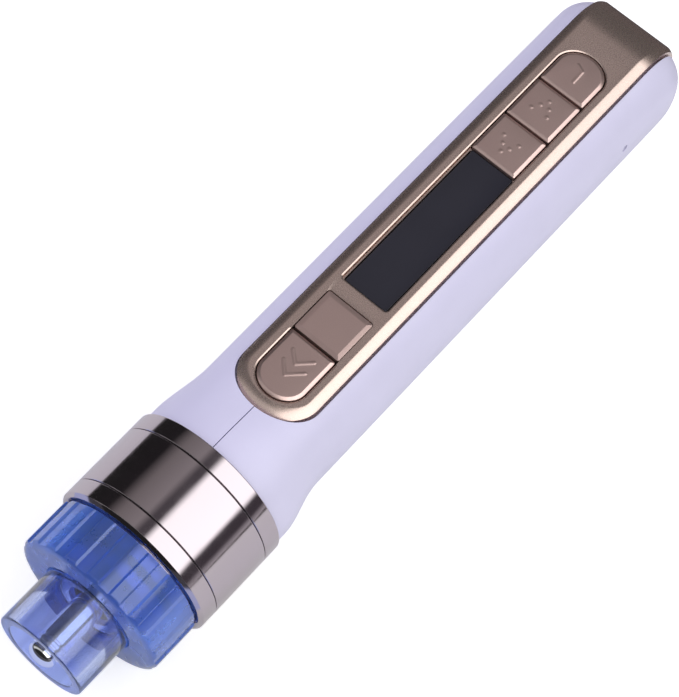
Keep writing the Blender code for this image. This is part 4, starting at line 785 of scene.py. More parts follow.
def turned_brass(colours):
    """Turned brass: warm yellow metal with fine tool marks."""
    material, tree, shader, where = start("turned_brass", colours.brass, Metallic=1.0, Roughness=0.28)
    gloss(tree, shader, where, 0.6 * MM, 0.2, 0.36)
    return material


def zinc_plated_steel(colours):
    """Bright zinc plate on pressed steel: pale grey metal, slightly cloudy."""
    material, tree, shader, where = start("zinc_plated_steel", colours.steel, Metallic=1.0, Roughness=0.3)
    gloss(tree, shader, where, 2 * MM, 0.22, 0.38)
    return material


def battery_shrink_sleeve(colours):
    """Shrunk PVC sleeve on the cell: glossy blue, faintly puckered."""
    material, tree, shader, where = start("battery_shrink_sleeve", colours.sleeve, Roughness=0.3, IOR=1.53)
    pucker = add(tree, "ShaderNodeTexNoise", {"Vector": where, "Scale": 1 / (2.5 * MM), "Detail": 2.0})
    relief(tree, shader, pucker.outputs["Fac"], 0.05 * MM)
    return material


def red_insulation(colours):
    """Extruded PVC on the red leads: soft satin red."""
    material, tree, shader, where = start("red_insulation", colours.red, Roughness=0.45, IOR=1.53)
    speckle(tree, shader, where, colours.red, 0.6 * MM, 0.85, 1.1)
    return material


def black_insulation(colours):
    """Extruded PVC on the black leads: soft satin black."""
    material, tree, shader, where = start("black_insulation", colours.black, Roughness=0.45, IOR=1.53)
    speckle(tree, shader, where, colours.black, 0.6 * MM, 0.7, 1.4)
    return material


def finish(maker):
    """The material that a maker describes, made once."""
    return bpy.data.materials.get(maker.__name__) or maker(bpy.context.scene.pen_colours)


def piece(name, mesh, maker, body, slot, *nodes):
    """Put a made mesh in the scene with its finish, on its body, in place of the nodes it stands for."""
    obj = bpy.data.objects.new(name, mesh)
    bpy.context.scene.collection.objects.link(obj)
    mesh.materials.clear()
    mesh.materials.append(finish(maker))
    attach(obj, body)
    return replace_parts(obj, *nodes)


# Operators


class PenOperator:
    """What the operators share."""

    bl_options = {"REGISTER", "UNDO"}


class PEN_OT_metal_rings(PenOperator, bpy.types.Operator):
    """Make the three polished metal rings with the thin grooves between them"""

    bl_idname = "pen.metal_rings"
    bl_label = "Metal rings"

    def execute(self, context):
        sizes = context.scene.pen_sizes
        edge, groove = sizes.ring_edge, sizes.ring_groove
        spans = [span(node) for node in RINGS]
        bore = RING_R - RING_WALL
        for k, node in enumerate(RINGS):
            # The faces stand half a groove from the middle of the gap that the frame leaves
            front, rear = spans[k]
            if k > 0:
                front = (spans[k - 1][1] + front + groove) / 2
            if k < len(RINGS) - 1:
                rear = (rear + spans[k + 1][0] - groove) / 2
            lead = edge if k > 0 else RING_LEAD
            corners = [
                (rear, RING_R - edge),
                (rear - edge, RING_R),
                (front + lead, RING_R),
                (front, RING_R - lead),
                (front, bore),
                (rear, bore),
            ]
            mesh = ring_mesh("turned_" + node, corners, [edge / 2] * 6, 192)
            piece("turned_" + node, mesh, polished_nickel_plate, "grip", "polished_nickel", node)
        return {"FINISHED"}


class PEN_OT_clear_nozzle(PenOperator, bpy.types.Operator):
    """Make the clear cup that the rod stands in"""

    bl_idname = "pen.clear_nozzle"
    bl_label = "Clear nozzle"

    def execute(self, context):
        rim = context.scene.pen_sizes.nozzle_rim
        front, rear = span("nozzle")
        floor = front + NOZZLE_CUP_DEPTH
        floor_rear = floor + NOZZLE_FLOOR
        bore, eye, flange = NOZZLE_R - NOZZLE_WALL, BUSH_R + SEAT_GAP, COLLAR_BORE_R - SEAT_GAP
        small = 0.2 * MM
        corners = [
            (rear, flange),
            (floor_rear, flange),
            (floor_rear, NOZZLE_R),
            (front, NOZZLE_R),
            (front, bore),
            (floor, bore),
            (floor, eye),
            (rear, eye),
        ]
        mesh = ring_mesh("clear_nozzle", corners, [small, small, small, rim, rim, 2 * rim, small, small], 160)
        piece("clear_nozzle", mesh, clear_nozzle_polycarbonate, "nozzle_cup", "clear_blue", "nozzle")
        return {"FINISHED"}


class PEN_OT_depth_collar(PenOperator, bpy.types.Operator):
    """Make the clear ribbed collar"""

    bl_idname = "pen.depth_collar"
    bl_label = "Depth collar"

    def execute(self, context):
        sizes = context.scene.pen_sizes
        front, rear = span("depth_collar")
        lip = NOZZLE_R + SEAT_GAP
        arc = np.linspace(0, pi / 2, 15)
        rim = np.stack(
            [
                front + COLLAR_FACE_DROP * (1 - np.cos(arc)),
                COLLAR_FACE_R + (COLLAR_R - COLLAR_FACE_R) * np.sin(arc),
            ],
            axis=1,
        )
        middle = np.stack([np.linspace(rim[-1, 0], rear - 0.4 * MM, 6), np.full(6, COLLAR_R)], axis=1)
        inner = rounded(
            [
                (rear, COLLAR_R),
                (rear, COLLAR_BORE_R),
                (front + COLLAR_LIP, COLLAR_BORE_R),
                (front + COLLAR_LIP, lip),
                (front, lip),
                (front, COLLAR_FACE_R),
            ],
            [0.3 * MM, 0.2 * MM, 0.2 * MM, 0.1 * MM, 0.3 * MM, 0],
        )
        profile = np.concatenate([rim, middle[1:], inner[:-6]])
        # The outer radius is the profile's or the rib's, whichever is less: full on a rib, and less by the
        # rib's depth in a groove, with a straight slope at each side
        pitch = 2 * pi / sizes.rib_count
        slope = sizes.rib_edge / COLLAR_R / pitch
        share = np.concatenate([np.linspace(0, 0.5 - slope, 8), np.linspace(0.5 - slope, 0.5, 5)[1:]])
        share = np.concatenate([share, share[1:-1] + 0.5, [1 - slope / 2]])
        sunk = np.interp(share, (0, 0.5 - slope, 0.5, 1 - slope, 1), (0, 0, 1, 1, 0))
        turn = (np.arange(sizes.rib_count)[:, None] * pitch + (share - 0.25) * pitch).ravel()[:, None]
        sunk = np.tile(sunk, sizes.rib_count)[:, None]
        radius = np.minimum(profile[:, 1], COLLAR_R - sizes.rib_depth * sunk)
        grid = seat(profile[:, 0] + 0 * turn, radius * np.cos(turn), radius * np.sin(turn))
        mesh = grid_mesh("ribbed_collar", (grid, True, True, False), sharp=30)
        piece("ribbed_collar", mesh, clear_collar_polycarbonate, "collar", "clear_blue", "depth_collar")
        return {"FINISHED"}


class PEN_OT_nose(PenOperator, bpy.types.Operator):
    """Make the nose core under the collar, its seal, and the rod's guide with its wiper"""

    bl_idname = "pen.nose"
    bl_label = "Nose core and guide"

    def execute(self, context):
        front, rear = span("nose_core")
        spigot = COLLAR_BORE_R - SEAT_GAP
        sleeve = RING_R - RING_WALL - SEAT_GAP
        sleeve_rear = rear - CORE_TAIL_LENGTH
        seal_front, seal_rear = span("collar_seal")
        seal_middle = (seal_front + seal_rear) / 2
        floor = spigot - SEAL_GROOVE_DEPTH
        web_rear = CORE_WEB_AT + CORE_WEB
        corners = [
            (rear, CORE_TAIL_R),
            (sleeve_rear, CORE_TAIL_R),
            (sleeve_rear, sleeve),
            (0, sleeve),
            (0, CORE_FLANGE_R),
            (-CORE_FLANGE_LENGTH + SEAT_GAP, CORE_FLANGE_R),
            (-CORE_FLANGE_LENGTH + SEAT_GAP, spigot),
            (seal_middle + SEAL_GROOVE_WIDTH / 2, spigot),
            (seal_middle + SEAL_GROOVE_WIDTH / 2, floor),
            (seal_middle - SEAL_GROOVE_WIDTH / 2, floor),
            (seal_middle - SEAL_GROOVE_WIDTH / 2, spigot),
            (front, spigot),
            (front, BUSH_R + RUN_GAP),
            (front + CORE_FRONT_WALL, BUSH_R + RUN_GAP),
            (front + CORE_FRONT_WALL, CORE_CAVITY_R),
            (CORE_WEB_AT, CORE_CAVITY_R),
            (CORE_WEB_AT, MOTOR_BOSS_R + RUN_GAP),
            (web_rear, MOTOR_BOSS_R + RUN_GAP),
            (web_rear, MOTOR_R + SEAT_GAP),
            (rear, MOTOR_R + SEAT_GAP),
        ]
        mesh = ring_mesh("turned_nose_core", corners, 0.1 * MM)
        piece("turned_nose_core", mesh, polished_nickel_plate, "grip", "polished_nickel", "nose_core")
        turn = np.linspace(0, 2 * pi, 20, endpoint=False)
        middle_r = floor + RUN_GAP + SEAL_R
        circle = np.stack([seal_middle + SEAL_R * np.cos(turn), middle_r + SEAL_R * np.sin(turn)], axis=1)
        mesh = grid_mesh("collar_ring_seal", (turned(circle), True, True, False))
        piece("collar_ring_seal", mesh, nitrile_rubber, "grip", "black_rubber", "collar_seal")
        front, rear = span("guide_bush")
        head_front = rear - MM
        bore = ROD_R + RUN_GAP
        lip = BUSH_R - (BUSH_R - bore) / 2
        pocket = front + WIPER_THICK + RUN_GAP
        corners = [
            (rear, BUSH_HEAD_R),
            (head_front, BUSH_HEAD_R),
            (head_front, BUSH_R),
            (front, BUSH_R),
            (front, lip),
            (pocket, lip),
            (pocket, bore),
            (rear, bore),
        ]
        mesh = ring_mesh("turned_guide_bush", corners, [0.1 * MM] * 3 + [0.35 * MM] + [0.05 * MM] * 4, 96)
        piece("turned_guide_bush", mesh, black_acetal, "grip", "black_plastic", "guide_bush")
        outer, inner = lip - RUN_GAP / 2, ROD_R + RUN_GAP / 2
        corners = [(front + WIPER_THICK, outer), (front, outer), (front, inner), (front + WIPER_THICK, inner)]
        mesh = ring_mesh("moulded_rod_wiper", corners, [0.1 * MM, 0.1 * MM, 0.3 * MM, 0.1 * MM], 96)
        piece("moulded_rod_wiper", mesh, nitrile_rubber, "grip", "black_rubber", "rod_wiper")
        return {"FINISHED"}


class PEN_OT_push_rod(PenOperator, bpy.types.Operator):
    """Make the polished rod with its domed tip, turned grooves and rear head, and its return spring"""

    bl_idname = "pen.push_rod"
    bl_label = "Push rod"

    def execute(self, context):
        sizes = context.scene.pen_sizes
        tip = span("push_rod")[0]
        turn = np.linspace(0, pi / 2, 14)
        dome = np.stack([tip + sizes.rod_dome * (1 - np.cos(turn)), ROD_R * np.sin(turn)], axis=1)
        # Each groove is round-bottomed: the radius less depth times sin^2 across the groove's width
        across = np.linspace(0, 1, 11)
        starts = tip + sizes.rod_groove_first + np.arange(3)[:, None] * sizes.rod_groove_pitch
        bottoms = ROD_R - sizes.rod_groove_depth * np.sin(pi * across) ** 2 + 0 * starts
        grooves = np.stack([starts + sizes.rod_groove_width * across, bottoms], axis=-1).reshape(-1, 2)
        head_rear = ROD_HEAD_AT + ROD_HEAD_THICK
        head = rounded(
            [(ROD_HEAD_AT, ROD_R), (ROD_HEAD_AT, ROD_HEAD_R), (head_rear, ROD_HEAD_R), (head_rear, 0)],
            [0.05 * MM, 0.2 * MM, 0.2 * MM, 0],
        )[6:]
        profile = np.concatenate([dome, grooves, [(ROD_HEAD_AT, ROD_R)], head])
        turn = np.linspace(-pi / 2, pi / 2, 13)
        nub = np.stack([head_rear + NUB_R * np.sin(turn), NUB_R * np.cos(turn)], axis=1)
        rod = round_mesh("turned_push_rod", profile, 96)
        nub = round_mesh("rod_nub", nub, 24, middle=(0, 0, NUB_OFFSET))
        mesh = combined("turned_push_rod", rod, [("UNION", nub)])
        piece("turned_push_rod", mesh, ground_stainless_steel, "rod", "polished_steel", "push_rod")
        self.make_spring()
        return {"FINISHED"}

    def make_spring(self):
        """The return spring, a helix of round wire.

        At a turn t the wire's middle is at (front + rise t, R cos(t), R sin(t)), and its skin lies the wire's
        radius about that, in the plane of the pen's axis.
        """
        front, rear = span("return_spring")
        low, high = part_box("return_spring")
        turn = np.linspace(0, 2 * pi * SPRING_TURNS, 48 * SPRING_TURNS + 1)[:, None]
        around = np.linspace(0, 2 * pi, 12, endpoint=False)
        reach = (high.z - low.z) / 2 - SPRING_WIRE_R * (1 - np.cos(around))
        rise = (rear - front - 2 * SPRING_WIRE_R) * turn / turn[-1]
        along = front + SPRING_WIRE_R + rise + SPRING_WIRE_R * np.sin(around)
        wire = seat(along, reach * np.cos(turn), reach * np.sin(turn))
        mesh = grid_mesh("wound_return_spring", (wire, False, True, True))
        spring = piece("wound_return_spring", mesh, zinc_plated_steel, "grip", "plain_steel", "return_spring")
        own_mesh(spring)


def screw_places():
    """Station and height of each shell screw, from the frame."""
    places = []
    for label in SCREWS:
        low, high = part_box("shell_screw_" + label)
        places.append((label, station_of((low.x + high.x) / 2), (low.z + high.z) / 2 - AXIS_Z))
    return places


class PEN_OT_grip_shells(PenOperator, bpy.types.Operator):
    """Make the two grip shells, split on the middle plane, with the panel's seat and their holes"""

    bl_idname = "pen.grip_shells"
    bl_label = "Grip shells"

    def execute(self, context):
        sizes = context.scene.pen_sizes
        gap = sizes.panel_gap
        grown = ([-gap, -gap], [PANEL_THICK + SEAT_GAP, -PANEL_WRAP_R])
        seat_points = panel_sections(*grown, 1.0)
        seat_points[-1, :, 2] -= SEAT_GAP
        panel_seat = grid_mesh("panel_seat", (seat_points, False, True, True))
        window = block_mesh(
            "ledge_window",
            (span("start_key")[0] - SEAT_GAP, -LEDGE_HALF_GAP, 0),
            (span("control_board")[1] + SEAT_GAP, LEDGE_HALF_GAP, PANEL_FACE),
        )
        low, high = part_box("charge_socket")
        socket_height = (low.z + high.z) / 2 - AXIS_Z
        rear_wall = GRIP_END - CAVITY_END_WALL - MM
        socket_hole = rod_mesh(
            "socket_hole", (rear_wall, 0, socket_height), (GRIP_END + MM, 0, socket_height), SOCKET_R + RUN_GAP, "X", 64
        )
        reach = NECK_HALF_WIDTH + MM
        for name, side in (("shell_left", 1), ("shell_right", -1)):
            steps = [("DIFFERENCE", grip_hollow())]
            for label, at, height in screw_places():
                below = max(GRIP_WIDEST_AT - (height - BOSS_R), 0) / (GRIP_BELLY + GRIP_WIDEST_AT)
                width = GRIP_HALF_WIDTH * (1 - below**GRIP_BELLY_POWER) ** (1 / GRIP_BELLY_POWER) - GRIP_WALL / 2
                steps.append(("UNION", rod_mesh("boss_" + label, (at, 0, height), (at, side * width, height), BOSS_R)))
            steps += [("DIFFERENCE", panel_seat), ("DIFFERENCE", window), ("DIFFERENCE", socket_hole)]
            near, far = sorted((side * sizes.seam / 2, side * reach))
            half = block_mesh(name + "_half", (GRIP_FRONT - MM, near, -reach - MM), (GRIP_END + MM, far, reach))
            steps.append(("INTERSECT", half))
            for label, at, height in screw_places():
                start_y, end_y = (-MM, reach) if side > 0 else (MM, -SCREW_BITE - SEAT_GAP)
                hole = rod_mesh("hole_" + label, (at, start_y, height), (at, end_y, height), SCREW_R + RUN_GAP)
                steps.append(("DIFFERENCE", hole))
                if side > 0:
                    pocket = rod_mesh(
                        "pocket_" + label, (at, BOSS_HEAD_FLOOR, height), (at, reach, height), SCREW_HEAD_R + RUN_GAP
                    )
                    steps.append(("DIFFERENCE", pocket))
            if side < 0:
                inner = 2 * GRIP_WALL + MM - GRIP_HALF_WIDTH
                pinhole = rod_mesh(
                    "pinhole", (PINHOLE_AT, -reach, PINHOLE_ABOVE), (PINHOLE_AT, inner, PINHOLE_ABOVE), PINHOLE_R
                )
                steps.append(("DIFFERENCE", pinhole))
            mesh = combined("moulded_" + name, grip_form(), steps, sharp=28)
            piece("moulded_" + name, mesh, satin_lilac_abs, "grip", "lilac_white_plastic", name)
        return {"FINISHED"}


class PEN_OT_key_panel(PenOperator, bpy.types.Operator):
    """Make the key panel: a shouldered band that wraps down over the tail, with its two slots"""

    bl_idname = "pen.key_panel"
    bl_label = "Key panel"

    def execute(self, context):
        sizes = context.scene.pen_sizes
        come, fall = edge_fall(sizes.panel_edge, PLAIN_SHOULDER)
        come, fall = np.append(0, come), np.append(PANEL_THICK, fall)
        band = panel_sections(come, fall, PANEL_END_SHARE, sizes.nose_edge / sizes.panel_edge)
        band = grid_mesh("panel_band", (band, False, True, True))
        # The slots' edges are broken, but not round the blank key, and the glass lies beside a ledge
        edge, fine, ledge = sizes.slot_edge, MERGE * 10, sizes.glass_ledge
        start_tip, start_rear = span("start_key")
        glass_front, glass_rear = span("display_window")
        recess = PANEL_FACE + AXIS_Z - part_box("display_window")[1].z
        down_front, power_tip = span("down_key")[0], span("power_key")[1]
        slots = (
            ("front_slot", (start_tip, span("blank_key")[1]), 0, (True, False), fine, PANEL_THICK + MM),
            ("start_slot", (start_tip, start_rear - SEAT_GAP), 0, (True, False), edge, PANEL_THICK + MM),
            ("rear_recess", (glass_front, power_tip), 0, (False, True), edge, recess),
            ("rear_slot", (down_front, power_tip), 0, (False, True), fine, PANEL_THICK + MM),
            ("glass_hole", (glass_front, glass_rear), ledge / 2, (False, False), fine, PANEL_THICK + MM),
        )
        steps = []
        for label, ends, inset, rounds, width, depth in slots:
            slot = slot_mesh(label, ends, KEY_HALF_WIDTH - inset, rounds, width, depth)
            slot.transform(Matrix.Translation((0, -inset, 0)))
            steps.append(("DIFFERENCE", slot))
        wall = KEY_HALF_WIDTH + SEAT_GAP
        groove = (glass_front, wall - RUN_GAP, PANEL_FACE - recess - MM), (down_front, wall, PANEL_FACE - MM / 2)
        steps.append(("DIFFERENCE", block_mesh("ledge_groove", *groove)))
        for label in ("board_screw_bar", "board_screw_rear"):
            low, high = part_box(label)
            at, floor = station_of((low.x + high.x) / 2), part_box("control_board")[1].z - AXIS_Z + SEAT_GAP
            top = PANEL_FACE - PANEL_THICK
            steps.append(("UNION", rod_mesh(label + "_post", (at, 0, floor), (at, 0, top + MM), POST_R, "Z")))
            hole = rod_mesh(
                label + "_hole", (at, 0, floor - MM), (at, 0, high.z - AXIS_Z + SEAT_GAP), MM, "Z"
            )
            steps.append(("DIFFERENCE", hole))
        mesh = combined("lacquered_panel", band, steps)
        piece("lacquered_panel", mesh, rose_gold_panel_lacquer, "grip", "rose_gold_lacquer", "panel_frame")
        return {"FINISHED"}


# The keys' raised marks, as strokes between (station, side) points in millimetres: a double arrow head
# that points to the nozzle, a fall and a rise of dots, and an upright with a flag
KEY_MARKS = {
    "start_key": [
        ((45.8, 2.4), (43.5, 0.05)),
        ((43.5, 0.05), (46.2, -2.65)),
        ((48.6, 2.4), (46.5, 0.05)),
        ((46.5, 0.05), (49.1, -2.5)),
    ],
    "down_key": [((x, y), (x, y)) for x, y in ((112.8, 2.3), (111.1, 1.3), (109.4, 0.4), (110.9, -0.6), (112.7, -1.6))],
    "up_key": [((x, y), (x, y)) for x, y in ((121.5, 2.3), (123.2, 1.2), (124.9, 0.3), (123.4, -0.8), (121.7, -1.6))],
    "power_key": [((131.9, -0.4), (135.0, -0.3)), ((135.0, -0.3), (135.7, 1.3))],
}


class PEN_OT_keys(PenOperator, bpy.types.Operator):
    """Make the five keys with their shoulders and raised marks"""

    bl_idname = "pen.keys"
    bl_label = "Keys"

    def execute(self, context):
        sizes = context.scene.pen_sizes
        top = PANEL_FACE + KEY_PROUD
        for key in KEYS:
            ends = span(key)
            rounds = (key == "start_key", key == "power_key")
            edge, slopes = (sizes.blank_edge, BLANK_SHOULDER) if key == "blank_key" else (sizes.key_edge, ROUND_SHOULDER)
            grow = RUN_GAP / 2 if key == "blank_key" else 0
            slab = slab_mesh(key + "_slab", ends, KEY_HALF_WIDTH + grow, rounds, top, KEY_DEPTH, edge, slopes)
            slab.transform(Matrix.Translation((0, -grow, 0)))
            middle = sum(ends) / 2
            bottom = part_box(key)[0].z - AXIS_Z
            stem = rod_mesh(key + "_stem", (middle, 0, bottom), (middle, 0, top - KEY_DEPTH + MM), STEM_R, "Z")
            steps = [("UNION", stem)]
            for k, (first, last) in enumerate(KEY_MARKS.get(key, ())):
                ends_mm = np.array([first, last]) * MM
                radius = sizes.mark_width * (0.65 if first == last else 0.52)
                mark = stroke_mesh(f"{key}_mark_{k}", *ends_mm, radius, sizes.mark_height, top)
                steps.append(("UNION", mark))
            mesh = combined("lacquered_" + key, slab, steps, sharp=45)
            body = key.replace("_key", "_button")
            piece("lacquered_" + key, mesh, rose_gold_key_lacquer, body, "rose_gold_lacquer", key)
        return {"FINISHED"}


class PEN_OT_display(PenOperator, bpy.types.Operator):
    """Make the tinted display window"""

    bl_idname = "pen.display"
    bl_label = "Display"

    def execute(self, context):
        ledge = context.scene.pen_sizes.glass_ledge
        low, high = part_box("display_window")
        front, rear = span("display_window")
        ends = (front, rear + SEAT_GAP)
        half, top = KEY_HALF_WIDTH - ledge / 2, high.z - AXIS_Z
        mesh = slab_mesh("display_glass", ends, half, (False, False), top, high.z - low.z, SEAT_GAP / 2)
        mesh.transform(Matrix.Translation((0, -ledge / 2, 0)))
        piece("display_glass", mesh, tinted_display_glass, "grip", "dark_glass", "display_window")
        return {"FINISHED"}


class PEN_OT_socket_and_screws(PenOperator, bpy.types.Operator):
    """Make the charging socket in the tail wall and the four shell screws with their cross recesses"""

    bl_idname = "pen.socket_and_screws"
    bl_label = "Socket and screws"

    def execute(self, context):
        low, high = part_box("charge_socket")
        front, rear = span("charge_socket")
        height = (low.z + high.z) / 2 - AXIS_Z
        floor = rear - SOCKET_DEPTH
        pin = rear - SOCKET_PIN_SHORT
        profile = rounded(
            [
                (front, 0),
                (front, SOCKET_R),
                (rear, SOCKET_R),
                (rear, SOCKET_BORE_R),
                (floor, SOCKET_BORE_R),
                (floor, SOCKET_PIN_R),
                (pin, SOCKET_PIN_R),
                (pin, 0),
            ],
            [0, 0.2 * MM, 0.25 * MM, 0.3 * MM, 0.1 * MM, 0.1 * MM, 0.4 * MM, 0],
        )
        mesh = round_mesh("tail_socket", profile, 72, middle=(0, 0, height))
        piece("tail_socket", mesh, black_nylon, "grip", "black_plastic", "charge_socket")
        for label, at, height in screw_places():
            head_in = BOSS_HEAD_FLOOR + RUN_GAP
            head_out = head_in + SCREW_HEAD
            tip = -SCREW_BITE
            profile = rounded(
                [(tip, 0), (tip, SCREW_R), (head_in, SCREW_R), (head_in, SCREW_HEAD_R), (head_out, SCREW_HEAD_R), (head_out, 0)],
                [0, 0.5 * MM, 0.05 * MM, 0.1 * MM, 0.8 * MM, 0],
            )
            steps = []
            for wide, tall in ((1.3 * MM, 0.22 * MM), (0.22 * MM, 1.3 * MM)):
                slot = block_mesh(
                    "recess", (at - wide, head_out - MM, height - tall), (at + wide, head_out + MM, height + tall)
                )
                steps.append(("DIFFERENCE", slot))
            screw = round_mesh("shell_screw", profile, 40, middle=(at, 0, height), axis="Y")
            mesh = combined("cross_head_screw_" + label, screw, steps)
            node = "shell_screw_" + label
            piece("cross_head_screw_" + label, mesh, zinc_plated_steel, "grip", "plain_steel", node)
        return {"FINISHED"}


# The nodes of the frame that stay as they are, with the finish of each
INSIDE = {
    zinc_plated_steel: ("motor_can", "board_screw_bar", "board_screw_rear"),
    turned_brass: ("swash_cam",),
    ground_stainless_steel: ("motor_shaft",),
    black_nylon: (
        "motor_end_cap",
        "display_module",
        "start_switch",
        "blank_switch",
        "down_switch",
        "up_switch",
        "power_switch",
        "driver_chip",
        "main_chip",
        "battery_cradle",
    ),
    green_solder_mask: ("control_board",),
    battery_shrink_sleeve: ("battery_cell",),
    red_insulation: ("motor_lead_red", "battery_lead_red"),
    black_insulation: ("motor_lead_black", "battery_lead_black"),
}


class PEN_OT_inside(PenOperator, bpy.types.Operator):
    """Give the motor, board, battery and other inner nodes of the frame their finishes"""

    bl_idname = "pen.inside"
    bl_label = "Inner pieces"

    def execute(self, context):
        for maker, nodes in INSIDE.items():
            for node in nodes:
                materials = frame["nodes"][node].data.materials
                materials.clear()
                materials.append(finish(maker))
        return {"FINISHED"}


# The studio round the pen by the angle about the pen's axis, from straight up, + towards the front side:
# dark flags and white panels as (angle in degrees, brightness of red, green, blue), and how much of the
# nose's wall is seen there
STUDIO_BANDS = (
    (-180, (1.0, 1.0, 1.0), 0.0),
    (-95, (1.0, 1.0, 1.0), 0.0),
    (-90, (0.02, 0.02, 0.02), 1.0),
    (-56, (0.02, 0.018, 0.02), 1.0),
    (-40, (0.24, 0.22, 0.22), 1.0),
    (-14, (0.345, 0.32, 0.325), 1.0),
    (-5, (0.10, 0.09, 0.10), 1.0),
    (3, (0.10, 0.09, 0.10), 1.0),
    (11, (1.9, 1.9, 1.88), 0.0),
    (63, (2.0, 2.0, 2.0), 0.0),
    (69, (0.07, 0.06, 0.07), 0.0),
    (82, (0.07, 0.06, 0.07), 0.0),
    (91, (0.6, 0.57, 0.6), 0.0),
    (120, (1.0, 1.0, 1.0), 0.0),
    (180, (1.0, 1.0, 1.0), 0.0),
)
# The wall beyond the nose and the black flags beyond both ends, by how far a direction leans to +X: the
# share that hides what is behind, and the brightness
NOSE_WALL = ((-1.0, 1.0, 0.65), (-0.5, 1.0, 0.65), (-0.36, 1.0, 0.08), (-0.02, 1.0, 0.08), (0.06, 0.0, 0.08))
# Painted reflections in the floor, seen in glossy rays alone: places along the pen where each begins and is whole, and
# its colour
PAINTED_FLOOR_REFLECTIONS = (
    (-0.0795, -0.082, (0.58, 0.66, 0.97)),
    (-0.125, -0.145, (0.05, 0.05, 0.06)),
    (0.106, 0.116, (0.06, 0.05, 0.05)),
)
END_FLAGS = ((-1.0, 1.0, 0.02), (-0.72, 1.0, 0.02), (-0.64, 0.0, 0.02), (0.5, 0.0, 0.06), (0.7, 1.0, 0.06))
STUDIO_TOP = 2.0
AMBIENT = 0.6

# The camera, from a pinhole fit to the photograph: where it stands, and its right and up directions
CAMERA_AT = (-0.195404, -0.121571, 0.488810)
CAMERA_TURN = 21.40
CAMERA_TILT = 14.47
CAMERA_ROLL = -5.25
PICTURE_TURN = 46.0
CAMERA_LENS = 136.46


